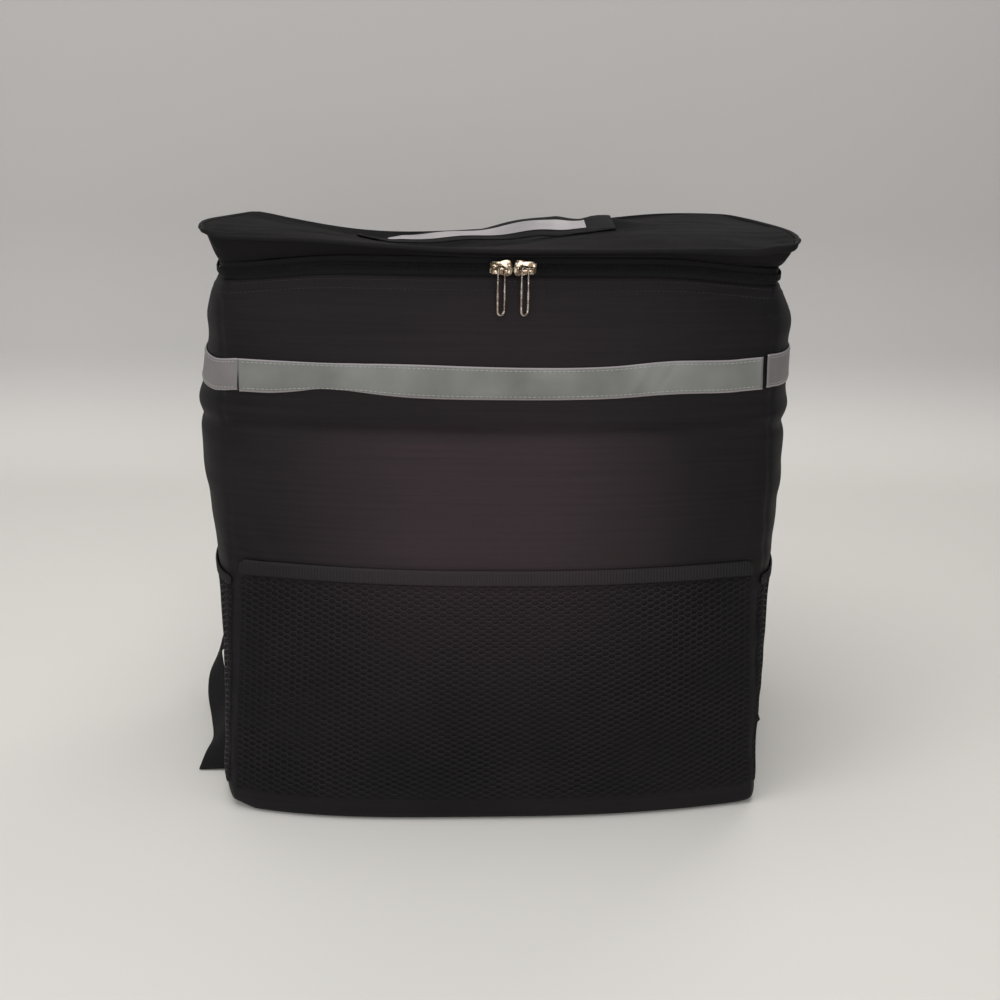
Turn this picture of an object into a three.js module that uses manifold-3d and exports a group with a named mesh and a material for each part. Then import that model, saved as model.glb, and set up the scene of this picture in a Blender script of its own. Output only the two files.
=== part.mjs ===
// A soft insulated carrying bag, worn on the back, that stands on its base.
// The frame is in millimetres: +X to the bag's right as seen from the front, +Y to its back, +Z up.
// The origin is the centre of the base, on the surface that the bag stands on.
import * as THREE from "three";
import { mergeVertices } from "three/addons/utils/BufferGeometryUtils.js";
import Module from "manifold-3d";

// Driving dimensions of the padded body.
const BODY_WIDTH = 464; // across the side bulges, at the fold
const SIDE_PUFF = 22; // how far each side bulges out past its front seam
const FRONT_SEAM_SPAN = BODY_WIDTH - 2 * SIDE_PUFF; // between the two front corner seams, at their widest
const BODY_DEPTH = 250; // front seam to back seam
const BODY_HEIGHT = 441; // base to the rim that the zip is sewn to
const FRONT_BULGE = 27; // how far the front panel swells past its seams
const BACK_BULGE = 4;
const WALL = 6; // shell cloth, foam and foil lining together
const BASE_ROUND = 9; // radius of the soft edge round the base
const BACK_SLUMP = 22; // how far the top of the back has sunk
const SLUMP_POWER = 3; // higher keeps the slump nearer the top
const CORNER_DROOP = 8; // how far the zip hangs lower at the two front corners
const DROOP_START = 0.55; // where its line starts to hang, as a share of half FRONT_SEAM_SPAN
const DROOP_FOOT = 0.87; // the cloth below this share of the body height stays as it is
const LEFT_FOOT = 5.5; // how far the base stands further forward at its front left corner
const LEFT_FOOT_TOP = 0.4; // where that ends, as a share of the body height

// The zip band and the lid above it.
const ZIP_HEIGHT = 15; // visible height of the zip between rim and lid
const ZIP_TAPE_THICKNESS = 1.2;
const CHAIN_WIDTH = 6;
const CHAIN_THICKNESS = 2.2;
const LID_RISE = 11; // zip to the piped edge
const LID_FLARE = 10; // how far the piped edge stands out past the zip
const LID_CORNER = 4; // how far its corners stick out beyond that
const LID_WALL = 5;
const LID_CROWN = 4; // how far the lid's plateau swells above the piped edge
const LID_SAG = 17; // how far its middle droops under the handle
const PIPING_RADIUS = 2;
const HINGE_THICKNESS = 2;

// Cloth that is sewn on the outside.
const SEAT_GAP = 0.35; // clearance between pieces that are sewn together
const TAPE_HEIGHT = 25; // reflective tape
const TAPE_THICKNESS = 1;
const TAPE_LEVEL = 0.829; // height of its middle, as a share of the body height
const POCKET_TOP = 206;
const POCKET_FOOT = 20;
const NET_THICKNESS = 1;
const POCKET_SLACK = 1.4; // how far the empty front pocket stands off the panel
const HEM_HEIGHT = 13;
const HEM_THICKNESS = 1.8;
const SIDE_POCKET_TOP = 196;
const SIDE_HEM_HEIGHT = 8;
const SIDE_HEM_GAP = 0.6; // a narrow band that crosses the body's facets stands a little further off

// The two zip sliders and their wire pulls.
const SLIDER_LENGTH = 16.5;
const SLIDER_HEIGHT = 11.6;
const SLIDER_PLATE = 1.6;
const SLIDER_SPACING = 0.8; // between the two sliders where they meet
const SLIDER_OFFSET = 6.8; // where they meet, right of the middle
const BRIDGE_RISE = 5; // plate to the middle of the bridge bar
const BRIDGE_RADIUS = 0.7;
const BRIDGE_SPAN = 9.4;
const PULL_WIRE = 1.4;
const PULL_WIDTH = 8;
const PULL_LENGTH = 37;
const PULL_TURN = 38; // degrees that the hanging loop is turned from the front

// The carrying handle on the lid.
const HANDLE_LENGTH = 208;
const HANDLE_WIDTH = 38;
const HANDLE_THICKNESS = 2;
const HANDLE_STITCHED = 24; // length of each end that is sewn down
const HANDLE_LIFT = 7; // finger room in the middle
const HANDLE_OFFSET = -9; // its middle lies left of the lid's middle
const HANDLE_TILT = 14; // degrees that its face leans to the front
const STRIPE_WIDTH = 20;
const STRIPE_THICKNESS = 0.8;

// The shoulder straps on the back.
const STRAP_WIDTH = 62;
const STRAP_THICKNESS = 11;
const STRAP_TOP = BODY_HEIGHT - 17;
const STRAP_FOOT = 112;
const STRAP_TOP_SPAN = 150; // between the two straps' middles where they are sewn on
const STRAP_FOOT_SPAN = 232;
const STRAP_STANDOFF = 9; // room for the arm between the strap and the back
const YOKE_HEIGHT = 46;
const YOKE_THICKNESS = 2.4;
const WEB_WIDTH = 25;
const WEB_THICKNESS = 1.6;
const BUCKLE_WIDTH = 42;
const BUCKLE_HEIGHT = 34;
const BUCKLE_BAR = 4;
const TAB_WIDTH = 58;
const TAB_HEIGHT = 50;
const TAB_THICKNESS = 2.6;

const COLOURS = {
  cloth: { color: 0x1b1a1c, roughness: 0.75, metalness: 0 },
  trim: { color: 0x141315, roughness: 0.85, metalness: 0 },
  net: { color: 0x121113, roughness: 0.9, metalness: 0 },
  reflective: { color: 0x8a8b89, roughness: 0.5, metalness: 0 },
  nickel: { color: 0xcdbfa8, roughness: 0.25, metalness: 1 },
  plastic: { color: 0x101012, roughness: 0.5, metalness: 0 },
};

// The body's shape by height. height is a share of BODY_HEIGHT, left and right of half BODY_WIDTH, seam of
// half FRONT_SEAM_SPAN, front and back of half BODY_DEPTH, and bulge of FRONT_BULGE.
const BODY_SHAPE = [
  { height: 0.0, left: 1.0, right: 0.99, seam: 1.03, front: 1.03, bulge: 0.86, back: 0.985 },
  { height: 0.1, left: 0.98, right: 0.968, seam: 1.02, front: 1.03, bulge: 0.92, back: 1.0 },
  { height: 0.25, left: 0.972, right: 0.976, seam: 1.0, front: 1.022, bulge: 0.97, back: 1.0 },
  { height: 0.42, left: 0.982, right: 0.99, seam: 0.98, front: 1.01, bulge: 1.0, back: 1.0 },
  { height: 0.58, left: 1.016, right: 1.012, seam: 0.965, front: 0.995, bulge: 0.86, back: 1.0 },
  { height: 0.69, left: 1.042, right: 1.023, seam: 0.955, front: 0.98, bulge: 0.72, back: 1.0 },
  { height: 0.735, left: 1.044, right: 1.028, seam: 0.95, front: 0.965, bulge: 0.62, back: 1.0 },
  { height: 0.78, left: 1.024, right: 1.017, seam: 0.948, front: 0.97, bulge: 0.74, back: 1.0 },
  { height: 0.86, left: 0.994, right: 1.011, seam: 0.95, front: 0.975, bulge: 0.78, back: 1.0 },
  { height: 0.93, left: 0.983, right: 1.004, seam: 0.955, front: 0.965, bulge: 0.66, back: 0.99 },
  { height: 0.97, left: 0.972, right: 0.974, seam: 0.965, front: 0.955, bulge: 0.56, back: 0.97 },
  { height: 1.0, left: 0.936, right: 0.935, seam: 0.97, front: 0.945, bulge: 0.5, back: 0.95 },
];

// How far the top of the back has sunk, from its left to its right, as shares of BACK_SLUMP.
const SLUMP = [
  { along: -1, drop: 0.37 },
  { along: -0.75, drop: 0.9 },
  { along: -0.45, drop: 1.2 },
  { along: -0.1, drop: 1.05 },
  { along: 0.3, drop: 0.75 },
  { along: 0.6, drop: 0.4 },
  { along: 0.85, drop: 0.12 },
  { along: 1, drop: 0.26 },
];

// The line of the lid's front edge, from its left corner to its right, as shares of LID_RISE.
const LID_LINE = [
  { along: -1, lift: 0.5 },
  { along: -0.88, lift: 0.04 },
  { along: -0.65, lift: 0.04 },
  { along: -0.35, lift: -0.3 },
  { along: -0.1, lift: -0.5 },
  { along: 0.35, lift: -0.43 },
  { along: 0.65, lift: -0.35 },
  { along: 0.88, lift: -0.3 },
  { along: 1, lift: 0.15 },
];

// The front tape's ripples. along runs from -1 at the left seam to 1 at the right, and the lifts are
// shares of TAPE_HEIGHT.
const TAPE_RIPPLE = [
  { along: -1, top: -0.02, bottom: 0.0 },
  { along: -0.86, top: -0.02, bottom: -0.03 },
  { along: -0.66, top: -0.03, bottom: 0.2 },
  { along: -0.36, top: 0.0, bottom: -0.02 },
  { along: 0, top: -0.06, bottom: -0.06 },
  { along: 0.4, top: -0.04, bottom: -0.02 },
  { along: 0.62, top: 0.12, bottom: 0.1 },
  { along: 0.93, top: 0.1, bottom: 0.1 },
  { along: 1, top: 0.22, bottom: 0.2 },
];

// The loose tails of the adjusting webbings, from behind the bag to where they lie beside it. across is a
// share of half BODY_WIDTH, back of half BODY_DEPTH and lift of WEB_WIDTH. lean is in degrees from upright.
const LEFT_TAIL = [
  { across: 0.578, back: 1.216, lift: 1.44, lean: 45 },
  { across: 0.741, back: 1.264, lift: 1.52, lean: 0 },
  { across: 0.927, back: 1.248, lift: 2.0, lean: 0 },
  { across: 1.078, back: 1.056, lift: 2.08, lean: -6 },
  { across: 1.138, back: 0.784, lift: 1.4, lean: -21 },
  { across: 1.125, back: 0.528, lift: 0.72, lean: -45 },
  { across: 1.082, back: 0.24, lift: 0.4, lean: -51 },
  { across: 1.052, back: -0.064, lift: 0.44, lean: -43 },
  { across: 1.047, back: -0.32, lift: 0.26, lean: -69 },
  { across: 1.047, back: -0.528, lift: 0.096, lean: -87 },
];
const RIGHT_TAIL = [
  { across: 0.578, back: 1.216, lift: 1.44, lean: 45 },
  { across: 0.741, back: 1.256, lift: 1.28, lean: 0 },
  { across: 0.914, back: 1.232, lift: 1.36, lean: 0 },
  { across: 1.043, back: 1.04, lift: 1.2, lean: 6 },
  { across: 1.086, back: 0.736, lift: 0.72, lean: 39 },
  { across: 1.078, back: 0.4, lift: 0.4, lean: 51 },
  { across: 1.052, back: 0.112, lift: 0.44, lean: 39 },
  { across: 1.039, back: -0.112, lift: 0.44, lean: 39 },
];

const FRONT_STEPS = 18;
const SIDE_STEPS = 10;
const BACK_STEPS = 8;
const SIDE_SQUARENESS = 3.4; // higher makes the sides flatter with tighter corners
const CORNER_SOFTNESS = 0.62;
const FRONT_SQUARENESS = 2.3;

const AROUND = FRONT_STEPS + 2 * SIDE_STEPS + BACK_STEPS;
const RIGHT_START = FRONT_STEPS;
const BACK_START = FRONT_STEPS + SIDE_STEPS;
const LEFT_START = BACK_START + BACK_STEPS;

const UP = new THREE.Vector3(0, 0, 1);
const point = (x, y, z) => new THREE.Vector3(x, y, z);
const mix = THREE.MathUtils.lerp;
const eased = (k, steps) => (1 - Math.cos((Math.PI * k) / steps)) / 2;
const range = (count) => Array.from({ length: count }, (_, i) => i);
const swell = (share, power) => 1 - Math.abs(share) ** power;

// Reads one column of a table as a smooth curve through its rows.
function smooth(table, key, at, column) {
  const last = table.length - 1;
  let i = 0;
  while (i < last - 1 && at > table[i + 1][key]) i += 1;
  const a = table[i];
  const b = table[i + 1];
  const before = table[Math.max(i - 1, 0)];
  const after = table[Math.min(i + 2, last)];
  const span = b[key] - a[key];
  const t = THREE.MathUtils.clamp((at - a[key]) / span, 0, 1);
  const slope = (p, q) => (q[key] === p[key] ? 0 : (q[column] - p[column]) / (q[key] - p[key]));
  const ma = slope(before, b) * span;
  const mb = slope(a, after) * span;
  const t2 = t * t;
  const t3 = t2 * t;
  const values = (2 * t3 - 3 * t2 + 1) * a[column] + (3 * t2 - 2 * t3) * b[column];
  const slopes = (t3 - 2 * t2 + t) * ma + (t3 - t2) * mb;
  return values + slopes;
}

// One closed outline of the body at a height, seen from above: the front panel from its left seam to its
// right seam, the right side, the back and the left side. inset draws the whole outline in.
function outline(height, inset = 0) {
  const read = (column) => smooth(BODY_SHAPE, "height", height / BODY_HEIGHT, column);
  const left = (read("left") * BODY_WIDTH) / 2 - inset;
  const right = (read("right") * BODY_WIDTH) / 2 - inset;
  const seam = (read("seam") * FRONT_SEAM_SPAN) / 2 - inset * 0.5;
  const front = (-read("front") * BODY_DEPTH) / 2 + inset;
  const back = (read("back") * BODY_DEPTH) / 2 - inset;
  const bulge = read("bulge") * FRONT_BULGE;
  const points = [];
  for (const k of range(FRONT_STEPS)) {
    const s = (2 * k) / FRONT_STEPS - 1;
    points.push(point(s * seam, front - bulge * swell(s, FRONT_SQUARENESS), height));
  }
  const sidePoint = (t, side, sign) => {
    const puff = swell(2 * t - 1, SIDE_SQUARENESS) ** CORNER_SOFTNESS;
    return point(sign * mix(seam, side, puff), mix(front, back, t), height);
  };
  for (const k of range(SIDE_STEPS)) points.push(sidePoint(eased(k, SIDE_STEPS), right, 1));
  for (const k of range(BACK_STEPS)) {
    const s = 1 - (2 * k) / BACK_STEPS;
    points.push(point(s * seam, back + BACK_BULGE * swell(s, 2), height));
  }
  for (const k of range(SIDE_STEPS)) points.push(sidePoint(1 - eased(k, SIDE_STEPS), left, -1));
  return points;
}

// Moves a closed outline outwards in its own plane, or inwards where distance is negative. Each side
// moves by the whole distance, so a corner moves further.
function grow(ring, distance) {
  const n = ring.length;
  const outOf = (a, b) => b.clone().sub(a).cross(UP).setZ(0).normalize();
  return ring.map((p, i) => {
    const before = outOf(ring[(i + n - 1) % n], p);
    const after = outOf(p, ring[(i + 1) % n]);
    const out = before.clone().add(after).normalize();
    return p.clone().addScaledVector(out, distance / out.dot(after));
  });
}

// The heights at which the body's wall has a row of points, from the base up.
const BASE_ROWS = [0, 0.12, 0.4, 1].map((share) => share * BASE_ROUND);
const WALL_ROWS = [
  0.1, 0.18, 0.26, 0.34, 0.42, 0.5, 0.58, 0.65, 0.7, 0.735, 0.77, 0.815, 0.86, 0.9, 0.935, 0.965, 1,
].map((share) => share * BODY_HEIGHT);
const BODY_ROWS = [...BASE_ROWS, ...WALL_ROWS];

const roundInset = (height) => {
  const below = Math.max(BASE_ROUND - height, 0);
  return BASE_ROUND - Math.sqrt(BASE_ROUND ** 2 - below ** 2);
};
const bodyRow = (height) => outline(height, roundInset(height));
const BODY_RINGS = BODY_ROWS.map(bodyRow);

// The body's faceted skin at any height, between its rows, so that what is sewn on lies flat against it.
function skin(height) {
  const last = BODY_ROWS.length - 1;
  let i = 0;
  while (i < last - 1 && height > BODY_ROWS[i + 1]) i += 1;
  const t = (height - BODY_ROWS[i]) / (BODY_ROWS[i + 1] - BODY_ROWS[i]);
  return BODY_RINGS[i].map((p, k) => p.clone().lerp(BODY_RINGS[i + 1][k], t));
}

// A closed solid from a grid of points, each row a closed loop, with its first and last rows filled in.
function loft(rows) {
  const n = rows[0].length;
  const vertices = rows.flat();
  const faces = [];
  for (let r = 0; r + 1 < rows.length; r += 1)
    for (let k = 0; k < n; k += 1) {
      const a = r * n + k;
      const b = r * n + ((k + 1) % n);
      faces.push([a, b, b + n], [a, b + n, a + n]);
    }
  const fill = (r, turned) => {
    const middle = vertices.length;
    const sum = rows[r].reduce((total, p) => total.add(p), point(0, 0, 0));
    vertices.push(sum.divideScalar(n));
    for (let k = 0; k < n; k += 1) {
      const a = r * n + k;
      const b = r * n + ((k + 1) % n);
      faces.push(turned ? [middle, b, a] : [middle, a, b]);
    }
  };
  fill(0, true);
  fill(rows.length - 1, false);
  return solid(vertices, faces);
}

// A closed sheet between two grids of points that face each other. Where looped, each row joins its start.
function sheet(inner, outer, looped = false) {
  const rows = inner.length;
  const n = inner[0].length;
  const vertices = [...inner.flat(), ...outer.flat()];
  const far = rows * n;
  const faces = [];
  const columns = looped ? n : n - 1;
  for (let r = 0; r + 1 < rows; r += 1)
    for (let k = 0; k < columns; k += 1) {
      const a = r * n + k;
      const b = r * n + ((k + 1) % n);
      faces.push([far + a, far + b, far + b + n], [far + a, far + b + n, far + a + n]);
      faces.push([a, b + n, b], [a, a + n, b + n]);
    }
  const edge = (a, b) => faces.push([a, b, far + b], [a, far + b, far + a]);
  for (let k = 0; k < columns; k += 1) {
    const next = (k + 1) % n;
    edge(k, next);
    edge((rows - 1) * n + next, (rows - 1) * n + k);
  }
  if (!looped)
    for (let r = 0; r + 1 < rows; r += 1) {
      edge((r + 1) * n, r * n);
      edge(r * n + n - 1, (r + 1) * n + n - 1);
    }
  return solid(vertices, faces);
}

// A closed tube whose sections go round a loop and join their start.
function loopTube(sections) {
  const m = sections.length;
  const n = sections[0].length;
  const faces = [];
  for (let r = 0; r < m; r += 1)
    for (let k = 0; k < n; k += 1) {
      const a = r * n + k;
      const b = r * n + ((k + 1) % n);
      const c = ((r + 1) % m) * n + ((k + 1) % n);
      const d = ((r + 1) % m) * n + k;
      faces.push([a, b, c], [a, c, d]);
    }
  return solid(sections.flat(), faces);
}

// A BufferGeometry of numbered faces, turned to face out.
function solid(vertices, faces) {
  const volume = faces.reduce((sum, [a, b, c]) => {
    const cross = vertices[b].clone().cross(vertices[c]);
    return sum + vertices[a].dot(cross);
  }, 0);
  const turned = volume < 0 ? faces.map(([a, b, c]) => [a, c, b]) : faces;
  return new THREE.BufferGeometry()
    .setAttribute("position", new THREE.Float32BufferAttribute(vertices.flatMap((p) => p.toArray()), 3))
    .setIndex(turned.flat());
}

const bag = new THREE.Group();

// The whole bag has settled: the top of its back has sunk, and the front stands, with its zip line
// hanging at both corners and its base standing forward on the left.
function settle(p) {
  const back = THREE.MathUtils.smoothstep(p.y, -0.4 * BODY_DEPTH, BODY_DEPTH / 2);
  const along = THREE.MathUtils.clamp(p.x / (FRONT_SEAM_SPAN / 2), -1, 1);
  const drop = BACK_SLUMP * smooth(SLUMP, "along", along, "drop") * back;
  const corner = THREE.MathUtils.smoothstep(Math.abs(along), DROOP_START, 1) * (1 - back);
  const rising = THREE.MathUtils.smoothstep(p.z, DROOP_FOOT * BODY_HEIGHT, LID_FOOT);
  const droop = CORNER_DROOP * corner * rising * (1 - THREE.MathUtils.smoothstep(p.z, LID_FOOT, LID_EDGE));
  const foot = THREE.MathUtils.smoothstep(-along, 0, 0.8) - 0.4 * THREE.MathUtils.smoothstep(-along, 0.85, 1);
  const low = 1 - THREE.MathUtils.smoothstep(p.z, 0, LEFT_FOOT_TOP * BODY_HEIGHT);
  const forward = LEFT_FOOT * foot * (1 - back) * low;
  return p.set(p.x, p.y - forward, p.z - drop * (Math.max(p.z, 0) / LID_EDGE) ** SLUMP_POWER - droop);
}

function place(name, geometry, finish) {
  const { position } = geometry.attributes;
  const p = new THREE.Vector3();
  for (const i of range(position.count)) {
    settle(p.fromBufferAttribute(position, i));
    position.setXYZ(i, ...p.toArray());
  }
  const mesh = new THREE.Mesh(geometry, new THREE.MeshStandardMaterial(COLOURS[finish]));
  mesh.name = name;
  bag.add(mesh);
  return mesh;
}

// The padded body: an open tub whose wall goes up the inside, over the rim and down the outside.
function bodyShell() {
  const innerRows = [WALL, ...BODY_ROWS.filter((height, i) => height > WALL * 3 && i % 2 === 0)];
  const inside = innerRows.map((height) => grow(skin(height), -WALL));
  return loft([...inside, ...BODY_RINGS.slice().reverse()]);
}

const PATCH_MARGIN = 3; // least height between a patch's edge and its next row

// A cloth patch on the body between two columns of its outline and two heights for each column.
function patch(columns, lowAt, highAt, gapAt, thickness) {
  const stations = columns.map((column) => {
    const low = lowAt(column);
    const high = highAt(column);
    return { column, low, high };
  });
  const lowest = Math.min(...stations.map((s) => s.low));
  const highest = Math.max(...stations.map((s) => s.high));
  const tall = highest - lowest;
  const between = BODY_ROWS.filter((h) => h > lowest + PATCH_MARGIN && h < highest - PATCH_MARGIN);
  // The rows run downwards, as the body's do, so that both are split along the same diagonals.
  const shares = [0, ...between.map((h) => (h - lowest) / tall), 1].reverse();
  const layer = (extra) =>
    shares.map((share) =>
      stations.map(({ column, low, high }) => {
        const height = mix(low, high, share);
        const ring = grow(skin(height), gapAt(column, share) + extra);
        const i = Math.floor(column) % AROUND;
        const next = ring[(i + 1) % AROUND];
        return ring[i].clone().lerp(next, column - Math.floor(column));
      }),
    );
  return sheet(layer(0), layer(thickness));
}

const columnsFrom = (start, steps, trim = 0) =>
  range(steps + 1).map((k) => start + THREE.MathUtils.clamp(k, trim, steps - trim));
const alongFront = (column) => (2 * column) / FRONT_STEPS - 1;

// The reflective tape: one strip across the front and one round each side, each ending at a corner seam.
function reflectiveTape() {
  const middle = TAPE_LEVEL * BODY_HEIGHT;
  const lift = (column, edge) => smooth(TAPE_RIPPLE, "along", alongFront(column), edge) * TAPE_HEIGHT;
  const low = (column) => middle - TAPE_HEIGHT / 2 + lift(column, "bottom");
  const high = (column) => middle + TAPE_HEIGHT / 2 + lift(column, "top");
  const gap = () => SEAT_GAP;
  const trim = 0.06;
  place(
    "reflective_tape_front",
    patch(columnsFrom(0, FRONT_STEPS, trim), low, high, gap, TAPE_THICKNESS),
    "reflective",
  );
  const endLow = { right: low(FRONT_STEPS), left: low(0) };
  const endHigh = { right: high(FRONT_STEPS), left: high(0) };
  const sides = [
    ["right", RIGHT_START, 0],
    ["left", LEFT_START, SIDE_STEPS],
  ];
  for (const [name, start, seamStep] of sides) {
    const fade = (column) => 1 - Math.abs(column - start - seamStep) / SIDE_STEPS;
    const sideLow = (column) => mix(middle - TAPE_HEIGHT / 2, endLow[name], fade(column));
    const sideHigh = (column) => mix(middle + TAPE_HEIGHT / 2, endHigh[name], fade(column));
    place(
      `reflective_tape_${name}`,
      patch(columnsFrom(start, SIDE_STEPS, trim), sideLow, sideHigh, gap, TAPE_THICKNESS),
      "reflective",
    );
  }
}

// The net pocket on the front, closed at the seams and the base and open under its hem.
function frontPocket() {
  const slack = (column, share) => SEAT_GAP + POCKET_SLACK * swell(alongFront(column), 4) * share;
  const columns = columnsFrom(0, FRONT_STEPS, 0.12);
  const flat = (height) => () => height;
  const net = patch(columns, flat(POCKET_FOOT), flat(POCKET_TOP), slack, NET_THICKNESS);
  place("pocket_net", net, "net");
  const hemFoot = POCKET_TOP + SEAT_GAP;
  const hemSlack = (column) => slack(column, 1);
  const hem = patch(columns, flat(hemFoot), flat(hemFoot + HEM_HEIGHT), hemSlack, HEM_THICKNESS);
  place("pocket_hem", hem, "trim");
}

// A smaller net pocket low on each side, with a narrow bound top.
function sidePockets() {
  for (const [name, start] of [["right", RIGHT_START], ["left", LEFT_START]]) {
    const columns = columnsFrom(start, SIDE_STEPS, 0.5);
    const flat = (height) => () => height;
    const gap = () => SEAT_GAP;
    const net = patch(columns, flat(POCKET_FOOT), flat(SIDE_POCKET_TOP), gap, NET_THICKNESS);
    place(`side_pocket_net_${name}`, net, "net");
    const foot = SIDE_POCKET_TOP + SEAT_GAP;
    const hem = patch(columns, flat(foot), flat(foot + SIDE_HEM_HEIGHT), () => SIDE_HEM_GAP, HEM_THICKNESS);
    place(`side_pocket_hem_${name}`, hem, "trim");
  }
}

// The rim's outline is what the zip, the hinge strip and the lid all follow.
const RIM = BODY_RINGS[BODY_RINGS.length - 1];
const ZIP_FOOT = BODY_HEIGHT + SEAT_GAP;
const ZIP_TOP = BODY_HEIGHT + ZIP_HEIGHT - SEAT_GAP;
const ZIP_MIDDLE = BODY_HEIGHT + ZIP_HEIGHT / 2;
const LID_FOOT = BODY_HEIGHT + ZIP_HEIGHT;
const LID_EDGE = LID_FOOT + LID_RISE;
const atHeight = (ring, z) => ring.map((p) => p.clone().setZ(z));

// Columns of the rim from the back left corner round the front to the back right corner.
const ZIP_COLUMNS = range(AROUND - BACK_STEPS + 1).map((k) => (LEFT_START + k) % AROUND);
const HINGE_COLUMNS = range(BACK_STEPS + 1).map((k) => (BACK_START + k) % AROUND);
const pick = (ring, columns) => columns.map((column) => ring[column]);

// Draws in the two ends of an open row, so that neighbours on the same outline stay apart.
function shorten(row, by) {
  const drawIn = (end, next) => end.clone().add(next.clone().sub(end).setLength(by));
  const last = row.length - 1;
  return row.map((p, i) => {
    if (i === 0) return drawIn(p, row[1]);
    if (i === last) return drawIn(p, row[last - 1]);
    return p.clone();
  });
}

const FRONT_FACE = Math.min(...RIM.map((p) => p.y)); // the zip tape's face at the middle of the front
const SLIDER_STEP = (SLIDER_LENGTH + SLIDER_SPACING) / 2;
const sliderAt = (side) => SLIDER_OFFSET + side * SLIDER_STEP;
const NECK = { length: 3, height: 2, inset: 4.4 };
const neckAt = (side) => sliderAt(side) - side * (SLIDER_LENGTH / 2 - NECK.inset);
const PLATE_FACE = SEAT_GAP + CHAIN_THICKNESS + SEAT_GAP; // underside of the slider's front plate

let wasm;
async function readyBooleans() {
  wasm = await Module();
  wasm.setup();
}

function toManifold(geometry) {
  const bare = geometry.index ? geometry.clone() : geometry;
  bare.deleteAttribute("normal");
  bare.deleteAttribute("uv");
  const merged = mergeVertices(bare, 1e-4);
  return new wasm.Manifold(
    new wasm.Mesh({
      numProp: 3,
      vertProperties: merged.attributes.position.array,
      triVerts: new Uint32Array(merged.index.array),
    }),
  );
}

function fromManifold(made) {
  const mesh = made.getMesh();
  return new THREE.BufferGeometry()
    .setAttribute("position", new THREE.BufferAttribute(mesh.vertProperties, 3))
    .setIndex(new THREE.BufferAttribute(mesh.triVerts, 1));
}

const block = (w, d, h, x, y, z) => new THREE.BoxGeometry(w, d, h).translate(x, y, z);

// The zip: a woven tape round three sides of the rim, with the closed chain of teeth along its middle.
function zip() {
  const tapeRow = (z, out) => shorten(atHeight(pick(grow(RIM, out), ZIP_COLUMNS), z), SEAT_GAP * 2);
  const heights = [ZIP_FOOT, ZIP_TOP];
  const tape = sheet(
    heights.map((z) => tapeRow(z, -ZIP_TAPE_THICKNESS)),
    heights.map((z) => tapeRow(z, 0)),
  );
  // Each slider's neck goes through the tape between the teeth.
  let cut = toManifold(tape);
  for (const side of [-1, 1]) {
    const room = SEAT_GAP * 2;
    const slot = block(
      NECK.length + room,
      ZIP_TAPE_THICKNESS * 6,
      NECK.height + room,
      neckAt(side),
      FRONT_FACE,
      ZIP_MIDDLE,
    );
    cut = cut.subtract(toManifold(slot));
  }
  place("zip_tape", fromManifold(cut), "trim");

  // Each side's chain is closed up to the outer end of its slider.
  const chainSection = [
    { up: -0.5, out: 0 },
    { up: -0.36, out: 0.75 },
    { up: 0, out: 1 },
    { up: 0.36, out: 0.75 },
    { up: 0.5, out: 0 },
  ];
  for (const side of [-1, 1]) {
    const stopAt = sliderAt(side) + side * (SLIDER_LENGTH / 2 - 2);
    const columns = ZIP_COLUMNS.filter((column) => (RIM[column].x - stopAt) * side > 1);
    const ordered = side < 0 ? columns : columns.slice().reverse();
    const rings = chainSection.map(({ up, out }) => {
      const ring = grow(RIM, SEAT_GAP + out * CHAIN_THICKNESS);
      const row = shorten(atHeight(pick(ring, ordered), ZIP_MIDDLE + up * CHAIN_WIDTH), SEAT_GAP * 2);
      const beyond = ring[ordered[ordered.length - 1] - side].clone().setZ(row[0].z);
      const last = ring[ordered[ordered.length - 1]].clone().setZ(row[0].z);
      const end = last.clone().lerp(beyond, (stopAt - last.x) / (beyond.x - last.x));
      return [...row.slice(0, -1), last, end];
    });
    const sections = rings[0].map((_, k) => rings.map((ring) => ring[k]));
    place(`zip_chain_${side < 0 ? "left" : "right"}`, loft(sections), "trim");
  }
}

// The cloth strip along the back that the lid swings on.
function lidHinge() {
  const row = (z, out) => shorten(atHeight(pick(grow(RIM, out), HINGE_COLUMNS), z), SEAT_GAP * 2);
  const heights = [ZIP_FOOT, ZIP_TOP];
  const strip = sheet(
    heights.map((z) => row(z, -HINGE_THICKNESS)),
    heights.map((z) => row(z, 0)),
  );
  place("lid_hinge_strip", strip, "cloth");
}

// The lid's piped edge, seen from above: the rim's outline grown, with its four corners drawn out.
const CORNERS = [0, RIGHT_START, BACK_START, LEFT_START];
const EDGE_RING = grow(RIM, LID_FLARE).map((p, k) => {
  const pull = CORNERS.includes(k) ? LID_CORNER : 0;
  return p.clone().add(point(Math.sign(p.x) * pull, Math.sign(p.y) * pull * 0.5, 0));
});
const EDGE_HALF_WIDTH = Math.max(...EDGE_RING.map((p) => p.x));

// The height of the line through the lid's edge, before the back settles.
function edgeHeight(p) {
  const along = THREE.MathUtils.clamp(p.x / EDGE_HALF_WIDTH, -1, 1);
  const toFront = THREE.MathUtils.clamp(0.5 - p.y / BODY_DEPTH, 0, 1);
  return LID_EDGE + LID_RISE * smooth(LID_LINE, "along", along, "lift") * toFront;
}

// The height of the lid's top, at a place that lies a share of the way in from its edge.
function lidTop(p, inwards) {
  const across = p.x / EDGE_HALF_WIDTH;
  const crown = LID_CROWN * Math.min(1, inwards * 2.6) * (1 - p.y / BODY_DEPTH);
  const sag = LID_SAG * Math.exp(-7 * (across + 0.2) ** 2) * Math.min(1, inwards * 2);
  return edgeHeight(p) + crown - sag;
}

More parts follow.
